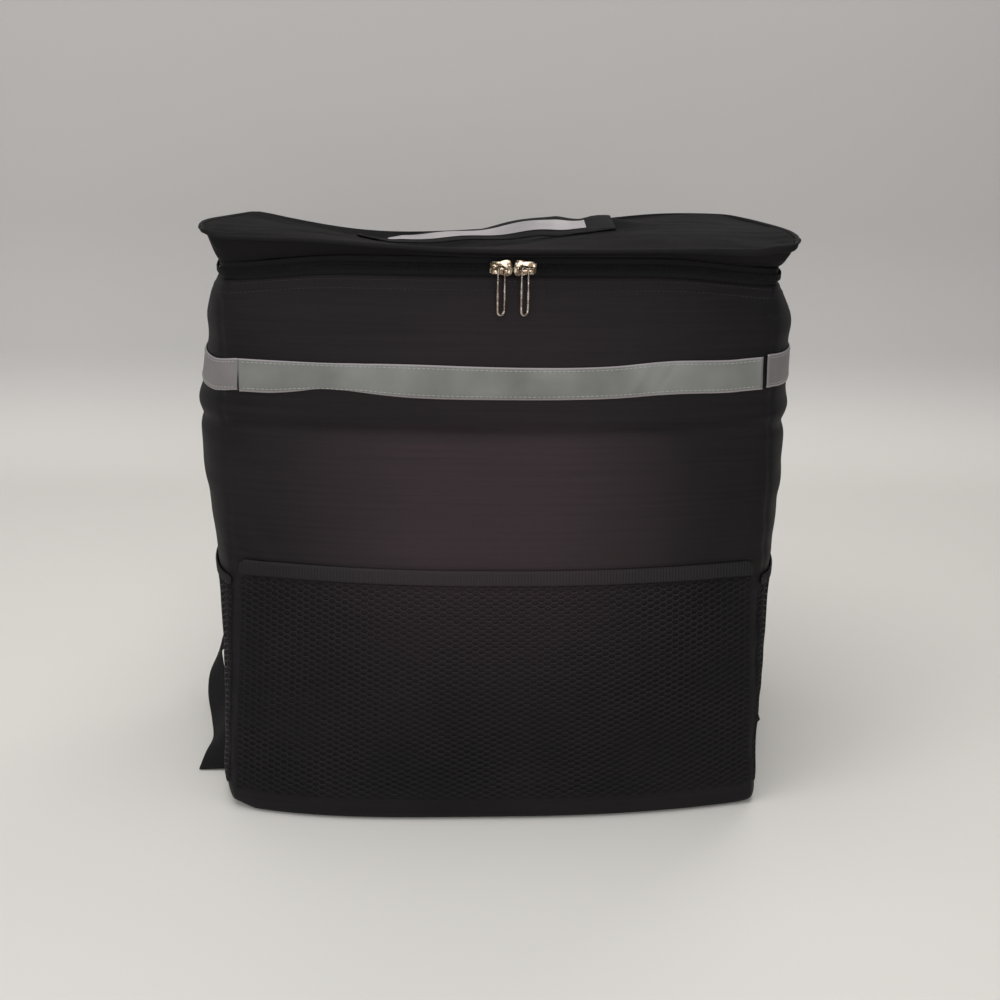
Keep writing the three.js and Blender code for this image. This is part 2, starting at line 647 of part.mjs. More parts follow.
const LID_INWARDS = [0, 0.04, 0.12, 0.24, 0.4, 0.6, 0.8];
const UNDER_INWARDS = [0.8, 0.4, 0.12, 0];
const SKIRT = [
  { rise: 0, flare: 0 },
  { rise: 0.3, flare: 0.42 },
  { rise: 0.72, flare: 0.86 },
  { rise: 1, flare: 1 },
];

function skirtRow({ rise, flare }, thickness) {
  const flared = RIM.map((p, k) => p.clone().lerp(EDGE_RING[k], flare));
  return grow(flared, -thickness).map((p, k) => p.setZ(mix(LID_FOOT, edgeHeight(EDGE_RING[k]), rise)));
}

// One ring of the lid's top panel, or of its underside where it has a thickness.
function topRow(inwards, thickness) {
  return grow(EDGE_RING, -thickness).map((p) => {
    const pulled = p.multiplyScalar(1 - inwards);
    return pulled.setZ(lidTop(pulled, inwards) - thickness);
  });
}

// The lid: a flared skirt and a padded top panel over the opening, hollow underneath.
function lid() {
  const under = UNDER_INWARDS.map((inwards) => topRow(inwards, LID_WALL));
  const inner = SKIRT.slice(0, -1).reverse().map((row) => skirtRow(row, LID_WALL));
  const outer = SKIRT.map((row) => skirtRow(row, 0));
  const top = LID_INWARDS.slice(1).map((inwards) => topRow(inwards, 0));
  place("lid", loft([...under, ...inner, ...outer, ...top]), "cloth");

  const seat = grow(EDGE_RING, PIPING_RADIUS + SEAT_GAP);
  const sides = 8;
  const sections = seat.map((p, k) => {
    const before = seat[(k + AROUND - 1) % AROUND];
    const after = seat[(k + 1) % AROUND];
    const out = after.clone().sub(before).cross(UP).normalize();
    const centre = p.clone().setZ(edgeHeight(EDGE_RING[k]));
    return range(sides).map((i) => {
      const angle = (2 * Math.PI * i) / sides;
      return centre
        .clone()
        .addScaledVector(out, Math.cos(angle) * PIPING_RADIUS)
        .addScaledVector(UP, Math.sin(angle) * PIPING_RADIUS);
    });
  });
  place("lid_piping", loopTube(sections), "trim");
}

// A flat band along a smooth path. Each stop gives a place and the direction of the band's width.
function band(stops, width, thickness, steps) {
  const path = new THREE.CatmullRomCurve3(stops.map((s) => s.at), false, "centripetal");
  const spread = new THREE.CatmullRomCurve3(stops.map((s) => s.wide), false, "centripetal");
  const rows = range(steps + 1).map((k) => {
    const t = k / steps;
    const along = path.getTangent(t);
    const wide = spread.getPoint(t);
    wide.addScaledVector(along, -wide.dot(along)).normalize();
    const normal = along.clone().cross(wide);
    const corner = (w, h) =>
      path
        .getPoint(t)
        .addScaledVector(wide, (w * width) / 2)
        .addScaledVector(normal, (h * thickness) / 2);
    return [corner(-1, -1), corner(1, -1), corner(1, 1), corner(-1, 1)];
  });
  return loft(rows);
}

// The carrying handle: a webbing sewn down at both ends, with a reflective stripe on its face.
function handle() {
  const half = HANDLE_LENGTH / 2;
  const tilt = THREE.MathUtils.degToRad(HANDLE_TILT);
  const wide = point(0, Math.cos(tilt), Math.sin(tilt));
  const clear = (x) => {
    const reach = (HANDLE_WIDTH / 2) * Math.cos(tilt);
    const dip = (HANDLE_WIDTH / 2) * Math.sin(tilt);
    const surface = (y) => lidTop(point(x, y, 0), 1);
    return Math.max(surface(-reach) + dip, surface(0), surface(reach) - dip);
  };
  const shares = [-1, -0.89, -0.78, -0.62, -0.4, -0.2, 0, 0.2, 0.4, 0.62, 0.78, 0.89, 1];
  const sewn = 1 - HANDLE_STITCHED / half;
  const stop = (share, above) => {
    const x = HANDLE_OFFSET + share * half;
    const loose = Math.max(0, 1 - Math.abs(share) / sewn);
    const lift = HANDLE_LIFT * Math.min(1, loose * 2.2);
    return { at: point(x, 0, clear(x) + SEAT_GAP * 2 + HANDLE_THICKNESS / 2 + lift + above), wide };
  };
  const strap = band(shares.map((s) => stop(s, 0)), HANDLE_WIDTH, HANDLE_THICKNESS, 28);
  place("handle_strap", strap, "trim");
  const above = HANDLE_THICKNESS / 2 + SEAT_GAP * 1.4 + STRIPE_THICKNESS / 2;
  const inner = shares.filter((s) => Math.abs(s) < sewn + 0.02);
  const stripe = band(inner.map((s) => stop(s, above)), STRIPE_WIDTH, STRIPE_THICKNESS, 20);
  place("handle_stripe", stripe, "reflective");
}

// A zip slider: two plates joined by a neck, with flanges round the teeth and a bridge for the pull.
function slider(name, side) {
  const across = sliderAt(side);
  const wideEnd = side * -1;
  const shape = new THREE.Shape();
  const half = SLIDER_LENGTH / 2;
  const tall = SLIDER_HEIGHT / 2;
  shape.moveTo(-half, -tall * 0.62);
  shape.lineTo(-half * 0.2, -tall * 0.72);
  shape.quadraticCurveTo(half * 0.2, -tall, half * 0.55, -tall);
  shape.quadraticCurveTo(half, -tall, half, 0);
  shape.quadraticCurveTo(half, tall, half * 0.55, tall);
  shape.quadraticCurveTo(half * 0.2, tall, -half * 0.2, tall * 0.72);
  shape.lineTo(-half, tall * 0.62);
  shape.closePath();
  const plate = (from, depth) =>
    new THREE.ExtrudeGeometry(shape, { depth, bevelEnabled: false, curveSegments: 5 })
      .scale(wideEnd, 1, 1)
      .rotateX(Math.PI / 2)
      .translate(across, FRONT_FACE - from, ZIP_MIDDLE);
  const facing = (geometry) => (wideEnd < 0 ? reversed(geometry) : geometry);
  const front = facing(plate(PLATE_FACE, SLIDER_PLATE));
  const rear = facing(plate(-ZIP_TAPE_THICKNESS - SEAT_GAP - SLIDER_PLATE, SLIDER_PLATE));
  const flangeDepth = PLATE_FACE + SLIDER_PLATE / 2 - SEAT_GAP;
  const flangeAt = FRONT_FACE - SEAT_GAP - flangeDepth / 2;
  const flangeUp = CHAIN_WIDTH / 2 + SEAT_GAP + 0.6;
  const flangeLength = SLIDER_LENGTH * 0.62;
  const flangeCentre = across - wideEnd * SLIDER_LENGTH * 0.1;
  const flange = (up) => block(flangeLength, flangeDepth, 1.2, flangeCentre, flangeAt, ZIP_MIDDLE + up);
  const neckFrom = -ZIP_TAPE_THICKNESS - SEAT_GAP - SLIDER_PLATE / 2;
  const neckTo = PLATE_FACE + SLIDER_PLATE / 2;
  const neck = block(
    NECK.length,
    neckTo - neckFrom,
    NECK.height,
    neckAt(side),
    FRONT_FACE - (neckFrom + neckTo) / 2,
    ZIP_MIDDLE,
  );
  const plateTop = PLATE_FACE + SLIDER_PLATE;
  const bar = new THREE.CylinderGeometry(BRIDGE_RADIUS, BRIDGE_RADIUS, BRIDGE_SPAN + 1.6, 10)
    .rotateZ(Math.PI / 2)
    .translate(across, FRONT_FACE - plateTop - BRIDGE_RISE, ZIP_MIDDLE);
  const leg = (end) =>
    block(
      1.6,
      BRIDGE_RISE + BRIDGE_RADIUS + SLIDER_PLATE / 2,
      2.6,
      across + (end * BRIDGE_SPAN) / 2 + end * 0.8,
      FRONT_FACE - plateTop - (BRIDGE_RISE + BRIDGE_RADIUS - SLIDER_PLATE / 2) / 2,
      ZIP_MIDDLE,
    );
  const pieces = [rear, flange(flangeUp), flange(-flangeUp), neck, bar, leg(-1), leg(1)];
  const made = pieces.reduce((sum, piece) => sum.add(toManifold(piece)), toManifold(front));
  place(name, fromManifold(made), "nickel");
}

// Turns a mirrored geometry's faces back to facing out.
function reversed(geometry) {
  const flat = geometry.index ? geometry.toNonIndexed() : geometry.clone();
  const p = flat.attributes.position.array;
  for (let i = 0; i < p.length; i += 9)
    for (let c = 0; c < 3; c += 1) [p[i + 3 + c], p[i + 6 + c]] = [p[i + 6 + c], p[i + 3 + c]];
  return flat;
}

const HINGE_Y = FRONT_FACE - PLATE_FACE - SLIDER_PLATE - BRIDGE_RISE;

// A pull: a long closed wire loop that hangs over its slider's bridge.
function pull(name, side) {
  const radius = (PULL_WIDTH - PULL_WIRE) / 2;
  const drop = PULL_LENGTH - PULL_WIDTH;
  const turn = THREE.MathUtils.degToRad(PULL_TURN);
  const across = point(Math.cos(turn), Math.sin(turn), 0);
  const outOf = point(-Math.sin(turn), Math.cos(turn), 0);
  const hang = BRIDGE_RADIUS + SEAT_GAP + PULL_WIRE / 2 - radius;
  const top = point(sliderAt(side), HINGE_Y, ZIP_MIDDLE + hang);
  const bend = (centre, from) =>
    range(7).map((k) => {
      const angle = from + (Math.PI * k) / 6;
      return { centre, angle };
    });
  const low = top.clone().addScaledVector(UP, -drop);
  const stops = [...bend(top, 0), ...bend(low, Math.PI)];
  const sections = stops.map(({ centre, angle }) => {
    const ray = across.clone().multiplyScalar(Math.cos(angle)).addScaledVector(UP, Math.sin(angle));
    const middle = centre.clone().addScaledVector(ray, radius);
    return range(8).map((i) => {
      const a = (2 * Math.PI * i) / 8;
      return middle
        .clone()
        .addScaledVector(ray, (Math.cos(a) * PULL_WIRE) / 2)
        .addScaledVector(outOf, (Math.sin(a) * PULL_WIRE) / 2);
    });
  });
  place(name, loopTube(sections), "nickel");
}

const BACK_FACE = BODY_DEPTH / 2 + BACK_BULGE; // the back panel's furthest point

// One stop of a loose tail, from its row in the tail's table.
function tailStop({ across, back, lift, lean }, side) {
  const angle = THREE.MathUtils.degToRad(lean);
  const at = point((side * across * BODY_WIDTH) / 2, (back * BODY_DEPTH) / 2, lift * WEB_WIDTH);
  return { at, wide: point(Math.sin(angle), 0, side * Math.cos(angle)) };
}

// The back panel's faceted surface at a place across it and a height.
function backAt(x, height) {
  const row = pick(skin(height), HINGE_COLUMNS);
  const after = row.findIndex((p) => p.x <= x);
  const a = row[after - 1];
  const b = row[after];
  return mix(a.y, b.y, (x - a.x) / (b.x - a.x));
}

const YOKE_TOP = STRAP_TOP + 4;

// A padded shoulder strap that hangs down the back from the yoke.
function shoulderStrap(name, side) {
  const yokeSeat = backAt((STRAP_TOP_SPAN - STRAP_WIDTH) / 2, YOKE_TOP - YOKE_HEIGHT) + SEAT_GAP;
  const yokeFace = yokeSeat + YOKE_THICKNESS;
  const sewn = yokeFace + SEAT_GAP + STRAP_THICKNESS / 2;
  const free = BACK_FACE + STRAP_STANDOFF + STRAP_THICKNESS / 2;
  const foot = free - STRAP_THICKNESS / 4;
  const stops = [
    { share: 0, y: sewn },
    { share: 0.12, y: sewn },
    { share: 0.35, y: free },
    { share: 0.7, y: free + STRAP_STANDOFF * 0.2 },
    { share: 0.95, y: foot },
    { share: 1, y: foot },
  ].map(({ share, y }) => {
    const x = mix(STRAP_TOP_SPAN, STRAP_FOOT_SPAN, Math.min(share / 0.95, 1) ** 1.3) / 2;
    return point(side * x, y, mix(STRAP_TOP, STRAP_FOOT, share));
  });
  const path = new THREE.CatmullRomCurve3(stops, false, "centripetal");
  const quarter = [[0.5, 0.22], [0.44, 0.5]];
  const half = [...quarter, ...quarter.map(([w, h]) => [-w, h]).reverse()];
  const section = [...half, ...half.map(([w, h]) => [-w, -h])];
  const steps = 14;
  const rows = range(steps + 1).map((k) => {
    const t = k / steps;
    const along = path.getTangent(t);
    const wide = point(1, 0, 0).addScaledVector(along, -along.x).normalize();
    const normal = along.clone().cross(wide);
    const narrow = t > 0.9 ? mix(1, 0.72, (t - 0.9) / 0.1) : 1;
    return section.map(([w, h]) =>
      path
        .getPoint(t)
        .addScaledVector(wide, w * STRAP_WIDTH * narrow)
        .addScaledVector(normal, h * STRAP_THICKNESS),
    );
  });
  place(name, loft(rows), "cloth");
  return stops[stops.length - 1];
}

// A cloth yoke across the top of the back that both straps are sewn to.
function yoke() {
  const columns = range(BACK_STEPS - 1).map((k) => BACK_START + 1 + k);
  const foot = () => YOKE_TOP - YOKE_HEIGHT;
  place("strap_yoke", patch(columns, foot, () => YOKE_TOP, () => SEAT_GAP, YOKE_THICKNESS), "cloth");
}

// A plain three-bar buckle in the plane of the back. Returns the heights of its bars.
function buckle(name, centre) {
  const w = BUCKLE_WIDTH / 2;
  const h = BUCKLE_HEIGHT / 2;
  const bar = BUCKLE_BAR / 2;
  const rightSide = [[w - bar, -h], [w, -h + bar], [w, h - bar], [w - bar, h]];
  const leftSide = rightSide.map(([x, z]) => [-x, z]).reverse();
  const flat = ([x, z]) => new THREE.Vector2(x, z);
  const frame = new THREE.Shape([...rightSide, ...leftSide].map(flat));
  const slotHalf = w - BUCKLE_BAR;
  const opening = (low, high) => {
    const corners = [[-slotHalf, low], [-slotHalf, high], [slotHalf, high], [slotHalf, low]];
    return new THREE.Path(corners.map(flat));
  };
  frame.holes.push(opening(-h + BUCKLE_BAR, -bar), opening(bar, h - BUCKLE_BAR));
  const made = new THREE.ExtrudeGeometry(frame, { depth: BUCKLE_BAR, bevelEnabled: false })
    .rotateX(Math.PI / 2)
    .translate(centre.x, centre.y + BUCKLE_BAR / 2, centre.z);
  place(name, made, "plastic");
}

// The rest of each strap: a short loop that holds the buckle, the adjusting webbing and its loose tail.
function strapHardware(name, side, strapEnd, tail) {
  const leg = BUCKLE_BAR * Math.SQRT1_2 + SEAT_GAP * 2 + WEB_THICKNESS / 2;
  const loopReach = BUCKLE_BAR * 3;
  const topBar = strapEnd.z - loopReach;
  const centre = point(strapEnd.x, strapEnd.y, topBar - BUCKLE_HEIGHT / 2 + BUCKLE_BAR / 2);
  buckle(`${name}_buckle`, centre);
  const wide = point(1, 0, 0);
  const hairpin = (z, up) => [
    { y: -leg, z: z + up * 4 },
    { y: -leg, z },
    { y: -leg * Math.SQRT1_2, z: z - up * leg * Math.SQRT1_2 },
    { y: 0, z: z - up * leg },
    { y: leg * Math.SQRT1_2, z: z - up * leg * Math.SQRT1_2 },
    { y: leg, z },
    { y: leg, z: z + up * 4 },
  ].map(({ y, z: height }) => ({ at: point(centre.x, centre.y + y, height), wide }));
  const holdTop = strapEnd.z - SEAT_GAP * 2;
  const hold = hairpin(topBar, 1);
  hold.unshift({ at: point(centre.x, centre.y - leg, holdTop), wide });
  hold.push({ at: point(centre.x, centre.y + leg, holdTop), wide });
  place(`${name}_buckle_loop`, band(hold, WEB_WIDTH, WEB_THICKNESS, 26), "trim");

  const turn = hairpin(centre.z, -1);
  const slant = point(0.66, 0, 0.75 * side).normalize();
  const onTab = TAB_SEAT + TAB_THICKNESS + SEAT_GAP * 2 + WEB_THICKNESS / 2;
  const tabTip = point(side * (TAB_CORNER - TAB_WIDTH * 0.38), onTab, TAB_FOOT + TAB_HEIGHT * 0.4);
  const tabTop = tabTip.clone().add(point(-side * TAB_WIDTH * 0.28, 0, TAB_HEIGHT * 0.28));
  const buckleFoot = centre.z - BUCKLE_HEIGHT / 2;
  const behind = point(centre.x, centre.y - leg - SEAT_GAP, buckleFoot - BUCKLE_BAR * 1.5);
  const anchored = [
    { at: tabTip, wide: slant },
    { at: tabTop, wide: slant },
    { at: behind, wide },
  ];
  const down = { at: point(centre.x, centre.y + leg, buckleFoot - BUCKLE_BAR / 2), wide };
  const hanging = { at: down.at.clone().add(point(0, 1, -BUCKLE_BAR * 3)), wide };
  const stops = [...anchored, ...turn, down, hanging, ...tail.map((row) => tailStop(row, side))];
  place(`${name}_webbing`, band(stops, WEB_WIDTH, WEB_THICKNESS, 90), "trim");
  anchorTab(`${name}_anchor_tab`, side);
}

const TAB_CORNER = FRONT_SEAM_SPAN / 2 - 14;
const TAB_FOOT = 14;
const TAB_SEAT = backAt(TAB_CORNER - TAB_WIDTH, TAB_FOOT + TAB_HEIGHT / 2) + SEAT_GAP;

// The cloth triangle at the bottom corner of the back that the webbing is sewn to.
function anchorTab(name, side) {
  const corner = side * TAB_CORNER;
  const foot = TAB_FOOT;
  const outer = new THREE.Shape([
    new THREE.Vector2(corner, foot),
    new THREE.Vector2(corner - side * TAB_WIDTH, foot),
    new THREE.Vector2(corner - side * TAB_WIDTH * 0.62, foot + TAB_HEIGHT * 0.5),
    new THREE.Vector2(corner, foot + TAB_HEIGHT),
  ]);
  const made = new THREE.ExtrudeGeometry(outer, { depth: TAB_THICKNESS, bevelEnabled: false })
    .rotateX(Math.PI / 2)
    .translate(0, TAB_SEAT + TAB_THICKNESS, 0);
  place(name, made, "cloth");
}

await readyBooleans();
place("body_shell", bodyShell(), "cloth");
reflectiveTape();
frontPocket();
sidePockets();
zip();
lidHinge();
lid();
handle();
slider("slider_left", -1);
slider("slider_right", 1);
pull("pull_left", -1);
pull("pull_right", 1);
yoke();
const leftEnd = shoulderStrap("left_shoulder_strap", -1);
const rightEnd = shoulderStrap("right_shoulder_strap", 1);
strapHardware("left", -1, leftEnd, LEFT_TAIL);
strapHardware("right", 1, rightEnd, RIGHT_TAIL);

export default bag;
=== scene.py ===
"""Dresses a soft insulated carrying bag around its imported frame.

Lengths are in metres, in the frame's own axes: +X to the bag's right as seen from the front, +Y to its
back and +Z up.
"""

import itertools
import logging
import math
from dataclasses import dataclass, field
from enum import Enum
from typing import Any, Callable, Sequence

import bmesh
import bpy
import numpy as np
from mathutils import Matrix, Vector, noise
from mathutils.bvhtree import BVHTree

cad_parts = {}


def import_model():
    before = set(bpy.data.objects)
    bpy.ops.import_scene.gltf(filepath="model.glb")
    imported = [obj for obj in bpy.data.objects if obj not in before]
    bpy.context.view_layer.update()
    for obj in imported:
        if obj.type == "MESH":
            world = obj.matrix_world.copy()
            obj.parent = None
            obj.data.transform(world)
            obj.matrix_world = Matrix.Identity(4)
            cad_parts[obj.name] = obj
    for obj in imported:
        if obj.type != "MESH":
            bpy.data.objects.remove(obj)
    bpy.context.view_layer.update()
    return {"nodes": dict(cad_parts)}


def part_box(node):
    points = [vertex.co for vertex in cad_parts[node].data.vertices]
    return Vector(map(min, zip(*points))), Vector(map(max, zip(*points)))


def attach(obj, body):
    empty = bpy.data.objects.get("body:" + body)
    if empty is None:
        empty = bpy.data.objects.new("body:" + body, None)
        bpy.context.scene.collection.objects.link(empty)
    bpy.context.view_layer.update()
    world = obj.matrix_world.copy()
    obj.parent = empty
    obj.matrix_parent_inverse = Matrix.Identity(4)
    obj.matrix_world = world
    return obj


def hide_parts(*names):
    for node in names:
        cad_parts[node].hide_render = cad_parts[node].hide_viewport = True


LOG = logging.getLogger("bag")
MM = 0.001
REACH = 0.7  # further out than any piece
MERGED = 0.005 * MM  # corners nearer than this are one corner
FLAT_DEGREES = 1.5  # a hard piece's faces that bend less are one face
CRISP_DEGREES = 35.0  # its edges that bend more are rounded
TINY = 1e-12
CLOTH_UV = "cloth"
# attribute that marks the lid's down-facing faces, which get painted light
UNDERSIDE_LIGHT = "painted_underside_light"
BAG = "bag"
SIDES = ("left", "right")

# How far cloth is lifted at many places at once: from places and normals, or from shares of a piece.
Height = Callable[[np.ndarray, np.ndarray], np.ndarray]


class Wire:
    """A shader socket that can stand in a Python expression."""

    def __init__(self, shop: "Shop", socket: bpy.types.NodeSocket) -> None:
        """Keeps the socket and the material that it belongs to."""
        self.shop = shop
        self.socket = socket

    def math(self, operation: str, *values: Any) -> "Wire":
        """Adds a Math node on some values."""
        return self.shop.node("ShaderNodeMath", {"operation": operation}, dict(enumerate(values)))

    def __add__(self, other: Any) -> "Wire":
        """Sum."""
        return self.math("ADD", self, other)

    def __sub__(self, other: Any) -> "Wire":
        """Difference."""
        return self.math("SUBTRACT", self, other)

    def __rsub__(self, other: Any) -> "Wire":
        """Difference from a plain number."""
        return self.math("SUBTRACT", other, self)

    def __mul__(self, other: Any) -> "Wire":
        """Product."""
        return self.math("MULTIPLY", self, other)

    def __pow__(self, other: Any) -> "Wire":
        """Power."""
        return self.math("POWER", self, other)

    def __abs__(self) -> "Wire":
        """Size without its sign."""
        return self.math("ABSOLUTE", self)

    __radd__ = __add__
    __rmul__ = __mul__

    def sine(self) -> "Wire":
        """Sine, in radians."""
        return self.math("SINE", self)

    def between(self, low: float, high: float) -> "Wire":
        """A smooth step from 0 at low to 1 at high."""
        values = {"Value": self, "From Min": low, "From Max": high}
        return self.shop.node("ShaderNodeMapRange", {"interpolation_type": "SMOOTHSTEP"}, values)


class Shop:
    """Makes one material, with one method for every node in it."""

    def __init__(self, name: str) -> None:
        """Starts an empty material."""
        self.material = bpy.data.materials.new(name)
        self.material.use_nodes = True
        self.tree = self.material.node_tree
        self.tree.nodes.clear()

    def node(
        self, kind: str, settings: dict | None = None, values: dict | None = None, output: Any = 0,
    ) -> Wire | None:
        """Adds a node.

        Args:
            kind: the node's type.
            settings: its own settings.
            values: numbers or wires for its sockets, by name or index.
            output: the output to give back.

        Returns:
            A wire from that output, if the node has one.
        """
        made = self.tree.nodes.new(kind)
        for key, value in (settings or {}).items():
            setattr(made, key, value)
        for key, value in (values or {}).items():
            if isinstance(value, Wire):
                self.tree.links.new(value.socket, made.inputs[key])
            else:
                made.inputs[key].default_value = value
        return Wire(self, made.outputs[output]) if made.outputs else None

    def place(self) -> Wire:
        """The place on the object, in metres."""
        return self.node("ShaderNodeTexCoord", output="Object")

    def flat(self) -> tuple[Wire, Wire]:
        """The cloth's own flat coordinates, in metres."""
        uv = self.node("ShaderNodeUVMap", {"uv_map": CLOTH_UV})
        across = self.node("ShaderNodeSeparateXYZ", values={0: uv}, output=0)
        along = self.node("ShaderNodeSeparateXYZ", values={0: uv}, output=1)
        return across, along

    def noise(self, at: Wire, scale: float, detail: float = 3.0, stretch: tuple = (1, 1, 1)) -> Wire:
        """Soft noise from 0 to 1 at a place, drawn out by a stretch along each axis."""
        drawn = self.node("ShaderNodeMapping", values={"Vector": at, "Scale": stretch})
        return self.node("ShaderNodeTexNoise", values={"Vector": drawn, "Scale": scale, "Detail": detail})

    def painted_front_sheen(self, place: Wire) -> Wire:
        """How much painted sheen lightens the front's middle, from 0 to 1: a painted highlight for the light
        that the bulging panel catches, weaker above the crease as painted shade.
        """
        x, y, z = (self.node("ShaderNodeSeparateXYZ", values={0: place}, output=k) for k in range(3))
        across = 1 - abs(x + 0.01).between(0.04, 0.2)
        # painted shade: the painted sheen is weaker above the crease
        below_crease = 1 - z.between(0.315, 0.335)
        above_foot = z.between(0.05, 0.26)
        front = 1 - y.between(-0.12, -0.09)
        return across * (below_crease * 0.75 + 0.25) * above_foot * front

    def mix(self, factor: Any, first: Any, second: Any) -> Wire:
        """A colour between two."""
        settings = {"data_type": "RGBA", "clamp_factor": True}
        return self.node("ShaderNodeMix", settings, {0: factor, 6: first, 7: second}, output=2)

    def bump(self, height: Wire, depth: float, strength: float = 1.0) -> Wire:
        """A normal from a height."""
        values = {"Height": height, "Distance": depth, "Strength": strength}
        return self.node("ShaderNodeBump", values=values, output="Normal")

    def finish(self, **values: Any) -> bpy.types.Material:
        """Ends the material with its shader.

        Args:
            values: the shader's sockets, their names with spaces as underscores.

        Returns:
            The material.
        """
        named = {key.replace("_", " "): value for key, value in values.items()}
        shader = self.node("ShaderNodeBsdfPrincipled", values=named)
        self.node("ShaderNodeOutputMaterial", values={"Surface": shader})
        return self.material


def colour(red: float, green: float, blue: float) -> tuple[float, float, float, float]:
    """A full colour from its three parts."""
    return (red, green, blue, 1.0)


@dataclass(frozen=True)
class WovenCloth:
    """Plain-woven polyester, nearly black, that catches the light on its raised threads, with a painted sheen
    on the front's middle.
    """

    name: str
    dark: tuple = colour(0.004, 0.0036, 0.004)
    light: tuple = colour(0.012, 0.0102, 0.0112)
    # painted sheen: the lighter, purplish colour painted on the front's middle as a highlight
    painted_sheen: tuple = colour(0.0285, 0.0195, 0.0225)
    pitch: float = 0.9 * MM
    depth: float = 0.1 * MM
    roughness: float = 0.6
    gloss: float = 0.13
    skirt: tuple | None = None  # painted light: a lighter colour where the mesh's painted_underside_light attribute is 1, on faces that look down and out

    def make(self) -> bpy.types.Material:
        """Makes the material."""
        shop = Shop(self.name)
        place = shop.place()
        across, along = shop.flat()
        turn = math.tau / self.pitch
        weave = (across * turn).sine() * (along * turn).sine()
        cloudy = shop.noise(place, 9.0, 4.0)
        streaks = shop.noise(place, 60.0, 2.0, (0.12, 0.12, 6.0))
        tone = cloudy * 0.6 + streaks * 0.5 + weave * 0.12
        plain = shop.mix(tone.between(0.25, 0.9), self.dark, self.light)
        # painted highlight: the front's middle is mixed towards the painted sheen colour
        sheen_share = shop.painted_front_sheen(place) * (streaks * 0.5 + cloudy * 0.3 + 0.55)
        base = shop.mix(sheen_share, plain, self.painted_sheen)
        # painted light on the lid's skirt, where its faces look down and out
        if self.skirt:
            under = shop.node("ShaderNodeAttribute", {"attribute_name": UNDERSIDE_LIGHT}, output="Fac")
            base = shop.mix(under, base, self.skirt)
        slubs = shop.noise(place, 900.0, 1.0, (0.2, 0.2, 1.0))
        rough = cloudy * 0.12 + slubs * 0.1 + (self.roughness - 0.1)
        normal = shop.bump(weave * 0.5 + slubs * 0.6, self.depth, 0.8)
        return shop.finish(
            Base_Color=base, Roughness=rough, Normal=normal, Specular_IOR_Level=self.gloss,
        )


@dataclass(frozen=True)
class RibbedWebbing:
    """Black webbing with ribs along it and a slanted weave across."""

    name: str
    dark: tuple = colour(0.0028, 0.0026, 0.003)
    light: tuple = colour(0.0115, 0.01, 0.011)
    rib: float = 2.2 * MM
    depth: float = 0.25 * MM
    ribs_across: bool = False

    def make(self) -> bpy.types.Material:
        """Makes the material."""
        shop = Shop(self.name)
        place = shop.place()
        across, along = shop.flat()
        side, run = (along, across) if self.ribs_across else (across, along)
        ribs = abs((side * (math.pi / self.rib)).sine())
        slant = ((run * (math.tau / (self.rib * 0.7))) + (side * (math.tau / self.rib))).sine()
        weave = ribs * 0.7 + slant * 0.2
        cloudy = shop.noise(place, 30.0, 3.0)
        base = shop.mix((weave * 0.6 + cloudy * 0.5).between(0.2, 1.0), self.dark, self.light)
        rough = cloudy * 0.2 + 0.62
        normal = shop.bump(weave, self.depth, 0.9)
        return shop.finish(Base_Color=base, Roughness=rough, Normal=normal, Specular_IOR_Level=0.15)


@dataclass(frozen=True)
class KnitThread:
    """Matt black knitted thread, as in the net and the ribbed hems."""

    name: str
    dark: tuple = colour(0.0026, 0.0024, 0.0027)
    light: tuple = colour(0.0095, 0.0082, 0.009)
    # painted sheen on the net and hems over the front's middle, as on the bag cloth
    painted_sheen: tuple = colour(0.021, 0.0145, 0.017)
    gloss: float = 0.22

    def make(self) -> bpy.types.Material:
        """Makes the material."""
        shop = Shop(self.name)
        place = shop.place()
        cloudy = shop.noise(place, 24.0, 3.0)
        twist = shop.noise(place, 1500.0, 2.0, (0.5, 0.5, 1.0))
        plain = shop.mix((cloudy * 0.7 + twist * 0.4).between(0.3, 0.85), self.dark, self.light)
        # painted highlight: the front's middle is mixed towards the painted sheen colour
        base = shop.mix(shop.painted_front_sheen(place) * 0.8, plain, self.painted_sheen)
        normal = shop.bump(twist, 0.12 * MM, 0.7)
        rough = cloudy * 0.15 + 0.5
        return shop.finish(Base_Color=base, Roughness=rough, Normal=normal, Specular_IOR_Level=self.gloss)


@dataclass(frozen=True)
class ReflectiveTape:
    """Grey tape faced with tiny glass beads, with soft creases and rubbed edges."""

    name: str
    dark: tuple = colour(0.085, 0.09, 0.082)
    light: tuple = colour(0.2, 0.207, 0.195)
    rim: tuple = colour(0.27, 0.24, 0.25)
    half_width: float = 12.5 * MM
    rim_width: float = 1.1 * MM

    def make(self) -> bpy.types.Material:
        """Makes the material."""
        shop = Shop(self.name)
        place = shop.place()
        cloudy = shop.noise(place, 14.0, 4.0)
        creases = shop.noise(place, 26.0, 2.0, (1.0, 1.0, 0.45))
        beads = shop.noise(place, 2600.0, 1.0)
        tone = cloudy * 0.55 + creases * 0.35 + beads * 0.12
        face = shop.mix(tone.between(0.28, 0.72), self.dark, self.light)
        off_middle = abs(shop.flat()[1] - self.half_width)
        inner = self.half_width - self.rim_width
        base = shop.mix(off_middle.between(inner - 0.3 * MM, inner + 0.3 * MM), face, self.rim)
        height = creases * 0.7 + beads * 0.12
        rough = beads * 0.15 + cloudy * 0.1 + 0.36
        return shop.finish(Base_Color=base, Roughness=rough, Normal=shop.bump(height, 0.9 * MM, 0.7))


